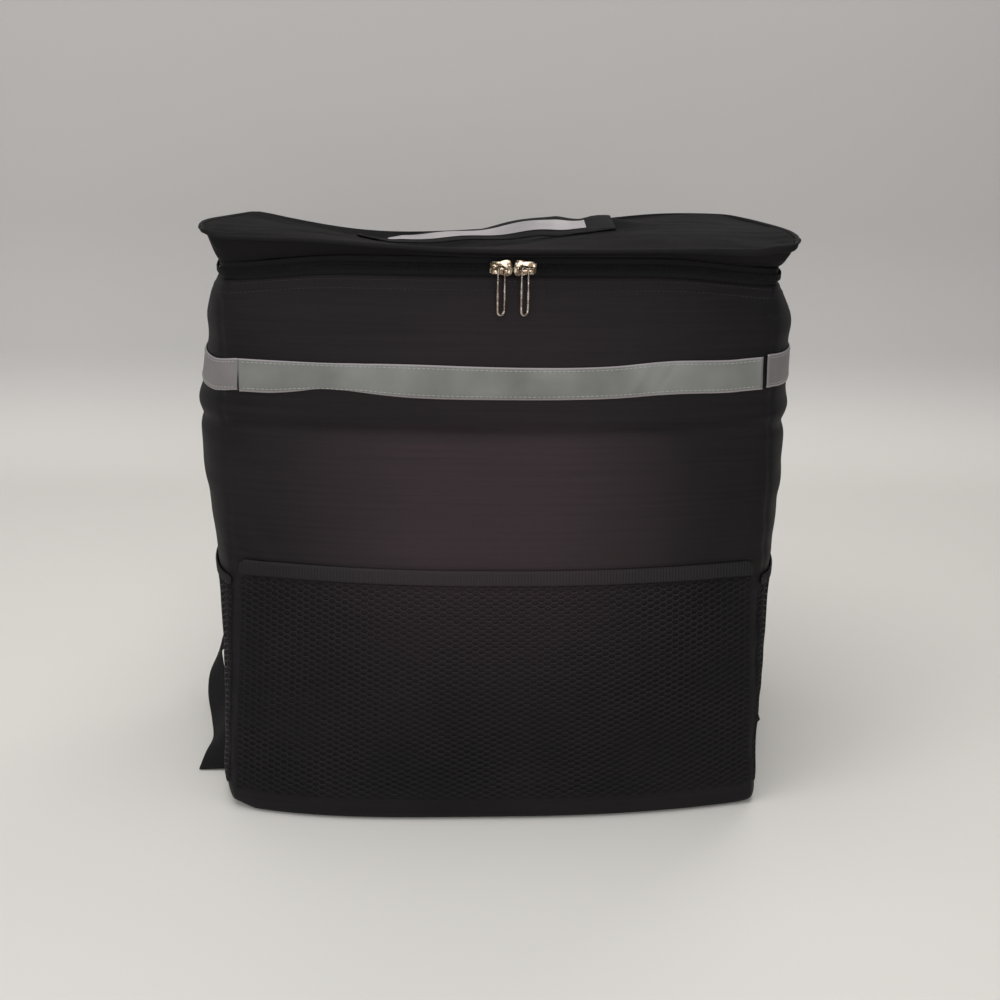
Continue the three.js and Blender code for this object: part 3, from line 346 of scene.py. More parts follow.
@dataclass(frozen=True)
class PaleNickel:
    """Polished pale nickel with a warm tint and light handling marks."""

    name: str
    clean: tuple = colour(0.4, 0.335, 0.255)
    dull: tuple = colour(0.08, 0.058, 0.038)
    marks: float = 260.0  # how fine the handling marks are

    def make(self) -> bpy.types.Material:
        """Makes the material."""
        shop = Shop(self.name)
        place = shop.place()
        worn = shop.noise(place, self.marks, 3.0)
        base = shop.mix(worn.between(0.43, 0.55), self.clean, self.dull)
        rough = worn * 0.2 + 0.08
        normal = shop.bump(shop.noise(place, 500.0, 2.0), 0.25 * MM, 0.6)
        return shop.finish(Base_Color=base, Roughness=rough, Normal=normal, Metallic=1.0)


@dataclass(frozen=True)
class MouldedPlastic:
    """Black moulded plastic with a fine satin grain."""

    name: str
    dark: tuple = colour(0.006, 0.006, 0.0065)
    light: tuple = colour(0.016, 0.016, 0.017)
    roughness: float = 0.34
    gloss: float = 0.5

    def make(self) -> bpy.types.Material:
        """Makes the material."""
        shop = Shop(self.name)
        place = shop.place()
        grain = shop.noise(place, 1200.0, 2.0)
        base = shop.mix(shop.noise(place, 60.0, 3.0).between(0.4, 0.8), self.dark, self.light)
        normal = shop.bump(grain, 0.05 * MM)
        rough = grain * 0.2 + self.roughness
        return shop.finish(Base_Color=base, Roughness=rough, Normal=normal, Specular_IOR_Level=self.gloss)


@dataclass(frozen=True)
class SewingThread:
    """Twisted sewing thread."""

    name: str
    tone: tuple

    def make(self) -> bpy.types.Material:
        """Makes the material."""
        shop = Shop(self.name)
        twist = shop.noise(shop.place(), 2200.0, 1.0)
        shade = tuple(part * 0.6 for part in self.tone[:3]) + (1.0,)
        base = shop.mix(twist.between(0.3, 0.7), shade, self.tone)
        return shop.finish(Base_Color=base, Roughness=twist * 0.2 + 0.55)


class Slot(Enum):
    """The record's material slots."""

    CLOTH = "bag_cloth"
    TRIM = "trim"
    NET = "net"
    REFLECTIVE = "reflective"
    NICKEL = "nickel"
    PLASTIC = "buckle_plastic"


class Face(Enum):
    """A side of the bag, by the direction that it faces, or all the way round."""

    FRONT = (0, -1)
    RIGHT = (1, 0)
    LEFT = (-1, 0)
    AROUND = (0, 0)

    def ray(self, across: float, height: float) -> tuple[Vector, Vector]:
        """A level ray at the bag.

        Args:
            across: the distance along the side, or the angle from the front where it is AROUND.
            height: the height above the floor.

        Returns:
            The ray's start, outside the bag, and its direction.
        """
        if self is Face.AROUND:
            out = Vector((math.sin(across), -math.cos(across), 0))
            along = Vector((0, 0, 0))
        else:
            out = Vector((*self.value, 0))
            along = Vector((-out.y, out.x, 0)) * across
        return out * REACH + along + Vector((0, 0, height)), -out


def last_place(inside: float, outside: float, holds: Callable[[float], bool], tries: int) -> float:
    """The last place that passes a test, on the way from one that does to one that doesn't.

    Args:
        inside: a place that passes.
        outside: a place that doesn't.
        holds: the test.
        tries: how many times the way between the two is halved.

    Returns:
        The place.
    """
    for _ in range(tries):
        between = (inside + outside) / 2
        if holds(between):
            inside = between
        else:
            outside = between
    return inside


@dataclass
class Frame:
    """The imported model, and what is read off it."""

    nodes: dict
    trees: dict = field(default_factory=dict)

    def merged(self, node: str) -> bmesh.types.BMesh:
        """A copy of a CAD node's mesh with its triangles joined at their corners."""
        made = bmesh.new()
        made.from_mesh(self.nodes[node].data)
        bmesh.ops.remove_doubles(made, verts=made.verts, dist=MERGED)
        return made

    def tree(self, node: str) -> BVHTree:
        """A search tree of a CAD node's faces."""
        if node not in self.trees:
            made = self.merged(node)
            self.trees[node] = BVHTree.FromBMesh(made)
            made.free()
        return self.trees[node]

    def span(self, node: str, face: Face, across: float) -> tuple[float, float] | None:
        """The lowest and highest height at which a level ray meets a node.

        Args:
            node: the CAD node.
            face: the side that the ray comes from.
            across: its place along that side.

        Returns:
            Both heights, or None where it misses.
        """
        low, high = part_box(node)
        tree = self.tree(node)

        def meets(height: float) -> bool:
            return tree.ray_cast(*face.ray(across, height), REACH)[0] is not None

        step = 1.5 * MM
        found = [h for h in np.arange(low.z - step, high.z + step, step) if meets(h)]
        if not found:
            return None
        bottom = last_place(found[0], found[0] - step, meets, 7)
        return bottom, last_place(found[-1], found[-1] + step, meets, 7)


def points_of(mesh: bpy.types.Mesh) -> np.ndarray:
    """A mesh's points as an array."""
    flat = np.empty(len(mesh.vertices) * 3)
    mesh.vertices.foreach_get("co", flat)
    return flat.reshape(-1, 3)


def normals_of(mesh: bpy.types.Mesh) -> np.ndarray:
    """A mesh's point normals as an array."""
    flat = np.empty(len(mesh.vertices) * 3)
    mesh.vertices.foreach_get("normal", flat)
    return flat.reshape(-1, 3)


def surface_of(mesh: bpy.types.Mesh) -> BVHTree:
    """A search tree of a mesh's faces."""
    return BVHTree.FromPolygons([v.co for v in mesh.vertices], [p.vertices for p in mesh.polygons])


def unit(ways: np.ndarray) -> np.ndarray:
    """Each direction at length 1."""
    return ways / np.maximum(np.linalg.norm(ways, axis=-1, keepdims=True), TINY)


def normals_over(at: np.ndarray) -> np.ndarray:
    """The normals of a grid of points, on the side that its columns and rows turn to."""
    return unit(np.cross(np.gradient(at, axis=0), np.gradient(at, axis=1)))


def noise_at(points: np.ndarray, size: float, seed: float = 0.0) -> np.ndarray:
    """Smooth noise from -1 to 1 at each point, with features of about a size."""
    shift = Vector((seed, seed * 1.7, -seed))
    return np.array([noise.noise(Vector(p) / size + shift) for p in points])


def step_between(values: np.ndarray, low: float, high: float) -> np.ndarray:
    """A smooth step from 0 at low to 1 at high."""
    share = np.clip((values - low) / (high - low), 0, 1)
    return share * share * (3 - 2 * share)


def swell(mesh: bpy.types.Mesh, height: Height) -> None:
    """Moves each point of a mesh along its normal by a height worked out from its place and normal."""
    points = points_of(mesh)
    normals = normals_of(mesh)
    moved = points + normals * height(points, normals)[:, None]
    mesh.vertices.foreach_set("co", moved.ravel())
    mesh.update()


def box_unwrap(mesh: bpy.types.Mesh) -> None:
    """Gives a mesh flat cloth coordinates, in metres, from the side that each face looks to."""
    layer = mesh.uv_layers.get(CLOTH_UV) or mesh.uv_layers.new(name=CLOTH_UV)
    count = len(mesh.loops)
    corner = np.empty(count, int)
    mesh.loops.foreach_get("vertex_index", corner)
    face_of = np.repeat(np.arange(len(mesh.polygons)), [p.loop_total for p in mesh.polygons])
    looks = np.empty(len(mesh.polygons) * 3)
    mesh.polygons.foreach_get("normal", looks)
    main = np.abs(looks.reshape(-1, 3)).argmax(axis=1)[face_of]
    at = points_of(mesh)[corner]
    across = np.where(main == 0, at[:, 1], at[:, 0])
    along = np.where(main == 2, at[:, 1], at[:, 2])
    layer.data.foreach_set("uv", np.column_stack([across, along]).ravel())


def to_mesh(made: bmesh.types.BMesh, name: str) -> bpy.types.Mesh:
    """A mesh of what was made, which is freed."""
    mesh = bpy.data.meshes.new(name)
    made.to_mesh(mesh)
    made.free()
    return mesh


def to_object(made: bmesh.types.BMesh | bpy.types.Mesh, name: str) -> bpy.types.Object:
    """An object at the origin that holds a mesh, smooth-shaded."""
    if isinstance(made, bmesh.types.BMesh):
        mesh = to_mesh(made, name)
    else:
        mesh = made
        mesh.name = name
    mesh.polygons.foreach_set("use_smooth", [True] * len(mesh.polygons))
    thing = bpy.data.objects.new(name, mesh)
    bpy.context.scene.collection.objects.link(thing)
    return thing


def bends(edge: bmesh.types.BMEdge, degrees: float) -> bool:
    """Whether an edge lies between two faces that bend by more than an angle."""
    return len(edge.link_faces) == 2 and edge.calc_face_angle() > math.radians(degrees)


def refined(
    made: bmesh.types.BMesh, name: str, levels: int, sharp: float = 60.0, crease: float = 0.5,
) -> bpy.types.Mesh:
    """Subdivides a merged copy smoothly.

    Args:
        made: the merged copy, which is freed.
        name: a name for the mesh.
        levels: how many times to subdivide.
        sharp: the bend, in degrees, from which an edge is kept crisper.
        crease: how crisp, from 0 to 1.

    Returns:
        The fine mesh.
    """
    everything = math.pi
    bmesh.ops.join_triangles(
        made, faces=made.faces, angle_face_threshold=everything, angle_shape_threshold=everything
    )
    layer = made.edges.layers.float.get("crease_edge") or made.edges.layers.float.new("crease_edge")
    for edge in made.edges:
        if bends(edge, sharp):
            edge[layer] = crease
    rough = to_object(made, f"{name}_rough")
    fine = rough.modifiers.new("fine", "SUBSURF")
    fine.levels = levels
    fine.render_levels = levels
    view = bpy.context.evaluated_depsgraph_get()
    mesh = bpy.data.meshes.new_from_object(rough.evaluated_get(view))
    old = rough.data
    bpy.data.objects.remove(rough)
    bpy.data.meshes.remove(old)
    return mesh


def softened(made: bmesh.types.BMesh, edge: float, segments: int) -> bmesh.types.BMesh:
    """A hard piece with its flat faces joined and its crisp edges rounded.

    Args:
        made: the piece.
        edge: how far back each crisp edge is cut.
        segments: how many faces round it off.

    Returns:
        The same piece.
    """
    bmesh.ops.dissolve_limit(
        made, angle_limit=math.radians(FLAT_DEGREES), use_dissolve_boundaries=False,
        verts=made.verts, edges=made.edges,
    )
    crisp = [e for e in made.edges if bends(e, CRISP_DEGREES)]
    bmesh.ops.bevel(
        made, geom=crisp, offset=edge, offset_type="OFFSET", affect="EDGES", segments=segments,
        profile=0.5, material=-1, clamp_overlap=True,
    )
    return made


def grid(columns: int, rows: int) -> tuple[bmesh.types.BMesh, np.ndarray, np.ndarray]:
    """A flat grid of points, with each point's column and row."""
    made = bmesh.new()
    bmesh.ops.create_grid(made, x_segments=columns - 1, y_segments=rows - 1, size=1.0)
    made.verts.ensure_lookup_table()
    flat = np.array([v.co[:2] for v in made.verts])
    column = np.rint((flat[:, 0] + 1) / 2 * (columns - 1)).astype(int)
    row = np.rint((flat[:, 1] + 1) / 2 * (rows - 1)).astype(int)
    return made, column, row


def laid_out(made: bmesh.types.BMesh, at: np.ndarray, flat: np.ndarray) -> None:
    """Moves a grid's points to their places, and gives each its flat coordinates, in metres."""
    layer = made.loops.layers.uv.new(CLOTH_UV)
    made.verts.index_update()
    for face in made.faces:
        for loop in face.loops:
            loop[layer].uv = flat[loop.vert.index]
    for place, vert in zip(at, made.verts):
        vert.co = place


def lengths_along(points: np.ndarray) -> np.ndarray:
    """The distance along a line of points, at each of them."""
    steps = np.linalg.norm(np.diff(points, axis=0), axis=1)
    return np.concatenate([[0], np.cumsum(steps)])


def spaced(points: np.ndarray, pitch: float) -> np.ndarray:
    """Points at an even pitch along a line of points, with any further columns carried along."""
    along = lengths_along(points[:, :3])
    count = max(int(round(along[-1] / pitch)), 2)
    at = np.linspace(0, along[-1], count + 1)
    return np.column_stack([np.interp(at, along, points[:, axis]) for axis in range(points.shape[1])])


def chaikin(points: np.ndarray) -> np.ndarray:
    """Cuts the corners of a line of points once."""
    first = points[:-1] * 0.75 + points[1:] * 0.25
    second = points[:-1] * 0.25 + points[1:] * 0.75
    inner = np.empty((2 * len(first), points.shape[1]))
    inner[0::2] = first
    inner[1::2] = second
    return np.concatenate([points[:1], inner, points[-1:]])


def scattered(template: bpy.types.Mesh, turns: Sequence[Matrix], name: str) -> bpy.types.Mesh:
    """One mesh with a copy of a template at each of many places."""
    base = points_of(template)
    tall = np.column_stack([base, np.ones(len(base))])
    placed = np.concatenate([(tall @ np.array(turn).T)[:, :3] for turn in turns])
    sizes = [p.loop_total for p in template.polygons]
    corners = np.empty(len(template.loops), int)
    template.loops.foreach_get("vertex_index", corners)
    shifts = np.arange(len(turns)) * len(base)
    every = (corners[None, :] + shifts[:, None]).ravel()
    made = bpy.data.meshes.new(name)
    made.vertices.add(len(placed))
    made.vertices.foreach_set("co", placed.ravel())
    made.loops.add(len(every))
    made.loops.foreach_set("vertex_index", every)
    totals = np.tile(sizes, len(turns))
    made.polygons.add(len(totals))
    starts = np.concatenate([[0], np.cumsum(totals)[:-1]])
    made.polygons.foreach_set("loop_start", starts)
    made.update(calc_edges=True)
    return made


def stitch_template(length: float, radius: float) -> bpy.types.Mesh:
    """One stitch along X: a short thread that dips at both ends."""
    made = bmesh.new()
    bmesh.ops.create_cone(
        made, cap_ends=True, segments=6, radius1=radius, radius2=radius, depth=length,
        matrix=Matrix.Rotation(math.pi / 2, 4, "Y"),
    )
    long_edges = [e for e in made.edges if abs(e.verts[0].co.x - e.verts[1].co.x) > length / 2]
    bmesh.ops.subdivide_edges(made, edges=long_edges, cuts=2)
    for vert in made.verts:
        end = abs(vert.co.x) / (length / 2)
        if end > 0.9:
            vert.co.y *= 0.5
            vert.co.z = vert.co.z * 0.5 - radius * 0.8
    return to_mesh(made, "stitch")


def placement(at: Sequence[float], *axes: Vector) -> Matrix:
    """A placement at a point, with X, Y and Z along three directions."""
    turn = Matrix(axes).transposed().to_4x4()
    turn.translation = Vector(at)
    return turn


def turn_to(at: Sequence[float], along: Sequence[float], out: Sequence[float]) -> Matrix:
    """A placement at a point, with X along one direction and Z near another."""
    x = Vector(along).normalized()
    y = Vector(out).cross(x).normalized()
    return placement(at, x, y, x.cross(y))


@dataclass(frozen=True)
class Sewing:
    """A kind of stitch, with its pitch, its length and its thread's radius in metres."""

    pitch: float
    length: float
    radius: float

    def row(self, path: np.ndarray, out: np.ndarray) -> list[Matrix]:
        """Placements for a row of stitches.

        Args:
            path: the line's points.
            out: the cloth's normal at each.

        Returns:
            One placement a stitch.
        """
        both = spaced(np.column_stack([path, out]), self.pitch)
        places, normals = both[:, :3], both[:, 3:6]
        turns = []
        for k in range(len(places) - 1):
            at = (places[k] + places[k + 1]) / 2 + normals[k] * self.radius * 0.6
            turns.append(turn_to(at, places[k + 1] - places[k], normals[k]))
        return turns


@dataclass
class Patch:
    """A grid of points on the dressed body, with columns across a side and rows from low to high."""

    SMOOTHINGS = 14
    SQUARED = 6  # columns at each end that are drawn straight
    SAG_REACH = 30 * MM
    DROOP_REACH = (18 * MM, 60 * MM)

    at: np.ndarray
    out: np.ndarray

    @classmethod
    def under(
        cls, node: BVHTree, skin: BVHTree, face: Face, foot: np.ndarray, top: np.ndarray, rows: int,
    ) -> "Patch":
        """Reads the part of the body that lies under a CAD node.

        Args:
            node: the CAD node's surface.
            skin: the dressed body's surface.
            face: the side that the node is seen from.
            foot: places along its lower edge, as (across, height).
            top: the places above them along its upper edge.
            rows: how many points there are from foot to top.

        Returns:
            The patch, with smooth normals that point outwards.
        """
        at = np.zeros((len(foot), rows, 3))
        last = None
        for i in range(len(foot)):
            for j, share in enumerate(np.linspace(0, 1, rows)):
                across, height = foot[i] * (1 - share) + top[i] * share
                start, way = face.ray(across, height)
                hit = node.ray_cast(start, way, REACH)[0]
                if hit is None:
                    depth = (last - start).dot(way) if last else REACH * 0.8
                    hit = node.find_nearest(start + way * depth)[0]
                last = hit
                at[i, j] = skin.find_nearest(hit)[0]
        return cls(at, normals_over(at))

    def read(self, u: np.ndarray, v: np.ndarray) -> tuple[np.ndarray, np.ndarray]:
        """Points and normals at shares across and up the patch."""
        columns, rows = self.at.shape[:2]
        i = np.clip(u, 0, 1) * (columns - 1)
        j = np.clip(v, 0, 1) * (rows - 1)
        i0 = np.minimum(i.astype(int), columns - 2)
        j0 = np.minimum(j.astype(int), rows - 2)
        a = (i - i0)[:, None]
        b = (j - j0)[:, None]

        def blend(values: np.ndarray) -> np.ndarray:
            foot = values[i0, j0] * (1 - a) + values[i0 + 1, j0] * a
            top = values[i0, j0 + 1] * (1 - a) + values[i0 + 1, j0 + 1] * a
            return foot * (1 - b) + top * b

        return blend(self.at), unit(blend(self.out))

    def eased(self, skin: BVHTree, ends: tuple[float, float], sag: float, droop: float) -> "Patch":
        """The same patch with smooth edges, and with straight ends drawn out along the body.

        Args:
            skin: the body's surface, which the patch stays on.
            ends: how far its first and last ends are drawn out.
            sag: how far it hangs down away from its last end.
            droop: how much wider it is at its first end, where its lower edge comes loose.

        Returns:
            The eased patch.
        """
        at = self.at.copy()
        for _ in range(self.SMOOTHINGS):
            at[1:-1] = (at[:-2] + 2 * at[1:-1] + at[2:]) / 4
        span = self.SQUARED
        for last, step, length in ((0, 1, ends[0]), (len(at) - 1, -1, ends[1])):
            inner = last + step * span
            way = (at[inner] - at[inner + step * span]).mean(axis=0)
            way /= np.linalg.norm(way)
            reach = np.max(at[last] @ way) + length - at[inner] @ way
            for k in range(span):
                at[last + step * k] = at[inner] + way * reach[:, None] * (span - k) / span
        along = lengths_along(at[:, at.shape[1] // 2])
        at[:, :, 2] -= (sag * step_between(along[-1] - along, 0, self.SAG_REACH))[:, None]
        free = 1 - step_between(along, *self.DROOP_REACH)
        at[:, :, 2] -= droop * free[:, None] * np.linspace(1, 0, at.shape[1])
        for place in np.ndindex(at.shape[:2]):
            at[place] = skin.find_nearest(at[place])[0]
        return Patch(at, normals_over(at))

    def width(self) -> float:
        """The length along its middle row."""
        return float(lengths_along(self.at[:, self.at.shape[1] // 2])[-1])

    def height(self) -> float:
        """The length up its middle column."""
        return float(lengths_along(self.at[self.at.shape[0] // 2])[-1])

    def cloth(self, columns: int, rows: int, lift: Height, thickness: float) -> bmesh.types.BMesh:
        """A closed piece of cloth that lies on the patch.

        Args:
            columns: points across it.
            rows: points up it.
            lift: how far its face stands off the body, at shares across and up.
            thickness: its thickness.

        Returns:
            The cloth, with its flat coordinates.
        """
        made, column, row = grid(columns, rows)
        u = column / (columns - 1)
        v = row / (rows - 1)
        at, out = self.read(u, v)
        flat = np.column_stack([u * self.width(), v * self.height()])
        laid_out(made, at + out * lift(u, v)[:, None], flat)
        made.normal_update()
        bmesh.ops.solidify(made, geom=made.faces, thickness=thickness)
        return made


@dataclass(frozen=True)
class Fold:
    """A crease or ridge between two places on a panel, as (across, height) in metres."""

    start: tuple[float, float]
    end: tuple[float, float]
    width: float
    lift: float

    def height(self, across: np.ndarray, up: np.ndarray) -> np.ndarray:
        """How far it lifts the cloth at each place."""
        way = np.array(self.end) - np.array(self.start)
        length = np.linalg.norm(way)
        from_start = np.column_stack([across, up]) - np.array(self.start)
        share = from_start @ way / length**2
        off = np.abs(from_start[:, 0] * way[1] - from_start[:, 1] * way[0]) / length
        fade = step_between(share, -0.08, 0.15) * (1 - step_between(share, 0.85, 1.08))
        return self.lift * np.exp(-((off / self.width) ** 2)) * fade


@dataclass
class Piece:
    """What is done to every finished piece."""

    materials: dict[str, bpy.types.Material]

    def dress(
        self, thing: bpy.types.Object, finish: str, slot: Slot, replaces: Sequence[str] = (), body: str = BAG,
    ) -> bpy.types.Object:
        """Gives a piece its finish and its body, and hides the CAD nodes that it replaces.

        Args:
            thing: the piece.
            finish: the name of its material.
            slot: not used.
            replaces: the CAD nodes that it replaces.
            body: the CAD body that it rides on.

        Returns:
            The piece.
        """
        thing.data.materials.clear()
        thing.data.materials.append(self.materials[finish])
        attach(thing, body)
        if replaces:
            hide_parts(*replaces)
        LOG.info("%s: %d faces", thing.name, len(thing.data.polygons))
        return thing

    def stitches(
        self, name: str, rows: Sequence[list[Matrix]], sewing: Sewing, finish: str, slot: Slot,
    ) -> None:
        """Makes one piece of many stitches."""
        turns = [turn for row in rows for turn in row]
        mesh = scattered(stitch_template(sewing.length, sewing.radius), turns, name)
        self.dress(to_object(mesh, name), finish, slot)


@dataclass
class BodyCloth:
    """The padded body, with the folds and slack of its cloth."""

    frame: Frame
    piece: Piece
    levels: int = 3
    plump: float = 0.9 * MM
    broad_slack: float = 1.6 * MM
    small_slack: float = 0.6 * MM
    seam_depth: float = 0.9 * MM
    seam_width: float = 2.2 * MM
    gather_depth: float = 0.35 * MM
    gather_width: float = 14 * MM
    foot_tuck: float = 3.5 * MM
    folds: tuple[Fold, ...] = (
        Fold((-0.215, 0.326), (0.0, 0.322), 5 * MM, -2.2 * MM),
        Fold((-0.03, 0.322), (0.212, 0.327), 5 * MM, -2.0 * MM),
        Fold((-0.2, 0.334), (0.2, 0.332), 9 * MM, 1.2 * MM),
        Fold((-0.216, 0.228), (-0.196, 0.227), 3 * MM, -1.5 * MM),
        Fold((-0.205, 0.25), (-0.175, 0.215), 7 * MM, 1.0 * MM),
        Fold((-0.017, 0.264), (-0.016, 0.236), 2.5 * MM, -0.5 * MM),
        Fold((-0.14, 0.424), (0.06, 0.428), 4 * MM, 0.7 * MM),
        Fold((-0.19, 0.405), (-0.05, 0.414), 6 * MM, 0.6 * MM),
        Fold((0.05, 0.412), (0.19, 0.402), 6 * MM, 0.6 * MM),
        Fold((-0.11, 0.345), (-0.06, 0.30), 12 * MM, 0.9 * MM),
        Fold((0.10, 0.35), (0.15, 0.29), 12 * MM, 0.9 * MM),
    )
    side_folds: tuple[Fold, ...] = (
        Fold((-0.12, 0.322), (0.11, 0.318), 7 * MM, -3.0 * MM),
        Fold((-0.10, 0.335), (0.09, 0.334), 8 * MM, 2.0 * MM),
        Fold((-0.11, 0.27), (0.02, 0.30), 10 * MM, 1.4 * MM),
        Fold((-0.02, 0.255), (0.1, 0.29), 9 * MM, -1.2 * MM),
        Fold((-0.11, 0.40), (0.06, 0.41), 8 * MM, 1.3 * MM),
        Fold((-0.1, 0.06), (0.09, 0.045), 9 * MM, 1.0 * MM),
    )

    @staticmethod
    def is_upright_bend(edge: bmesh.types.BMEdge) -> bool:
        """Whether an edge runs up a corner of the body."""
        rise = abs(edge.verts[0].co.z - edge.verts[1].co.z)
        return bends(edge, 28.65) and rise > 4 * MM

    def seam(self, made: bmesh.types.BMesh) -> Callable[[np.ndarray, int], np.ndarray]:
        """The front corner seams' distance from the middle, as a function of height and side."""
        lines = {}
        for side in (-1, 1):
            near = [v for v in made.verts if v.co.y < -0.09 and v.co.x * side > 0.17]
            found = [v.co.copy() for v in near if any(self.is_upright_bend(e) for e in v.link_edges)]
            found.sort(key=lambda p: p.z)
            lines[side] = np.array([(p.z, p.x * side) for p in found])
        return lambda height, side: np.interp(height, lines[side][:, 0], lines[side][:, 1])

    def build(self) -> BVHTree:
        """Makes the body.

        Returns:
            Its surface, for what is sewn on it.
        """
        made = self.frame.merged("body_shell")
        seam = self.seam(made)
        mesh = refined(made, "body", self.levels, sharp=34.0, crease=0.55)
        zip_trees = [self.frame.tree(node) for node in ("zip_tape", "lid_hinge_strip")]

        def height(points: np.ndarray, normals: np.ndarray) -> np.ndarray:
            x, y, z = points.T
            front = step_between(-normals[:, 1], 0.4, 0.8)
            side = step_between(np.abs(normals[:, 0]), 0.4, 0.8)
            near_rim = z > 0.37
            clear = np.full(len(points), 1.0)
            clear[near_rim] = [
                min(tree.find_nearest(Vector(p))[3] for tree in zip_trees) for p in points[near_rim]
            ]
            loose = step_between(clear, 2 * MM, 26 * MM) * step_between(z, 4 * MM, 30 * MM)
            broad = noise_at(points * (1, 1, 1.4), 0.11, 3.0) * self.broad_slack
            small = noise_at(points * (1, 1, 2.2), 0.04, 9.0) * self.small_slack
            creased = sum(fold.height(x, z) for fold in self.folds) * front
            creased += sum(fold.height(y, z) for fold in self.side_folds) * side
            drawn = np.zeros(len(points))
            for sign in (-1, 1):
                off = np.abs(x * sign - seam(z, sign))
                at_seam = np.exp(-((off / self.seam_width) ** 2))
                waves = np.sin(z * 210 + np.sin(z * 57) * 2)
                gather = np.exp(-((off / self.gather_width) ** 2)) * waves * self.gather_depth
                drawn += (gather - at_seam * self.seam_depth) * step_between(-y, 0.08, 0.1)
            low = 1 - step_between(z, 0, 26 * MM)
            tuck = step_between(-x, 0.195, 0.215) * low * step_between(-y, 0.06, 0.1)
            return self.plump + (broad + small + creased + drawn) * loose - self.foot_tuck * tuck

        swell(mesh, height)
        low = points_of(mesh)
        low[:, 2] = np.maximum(low[:, 2], 0.0)
        mesh.vertices.foreach_set("co", low.ravel())
        mesh.update()
        box_unwrap(mesh)
        thing = to_object(mesh, "body_cloth")
        self.piece.dress(thing, "bag cloth", Slot.CLOTH, ["body_shell"])
        return surface_of(mesh)


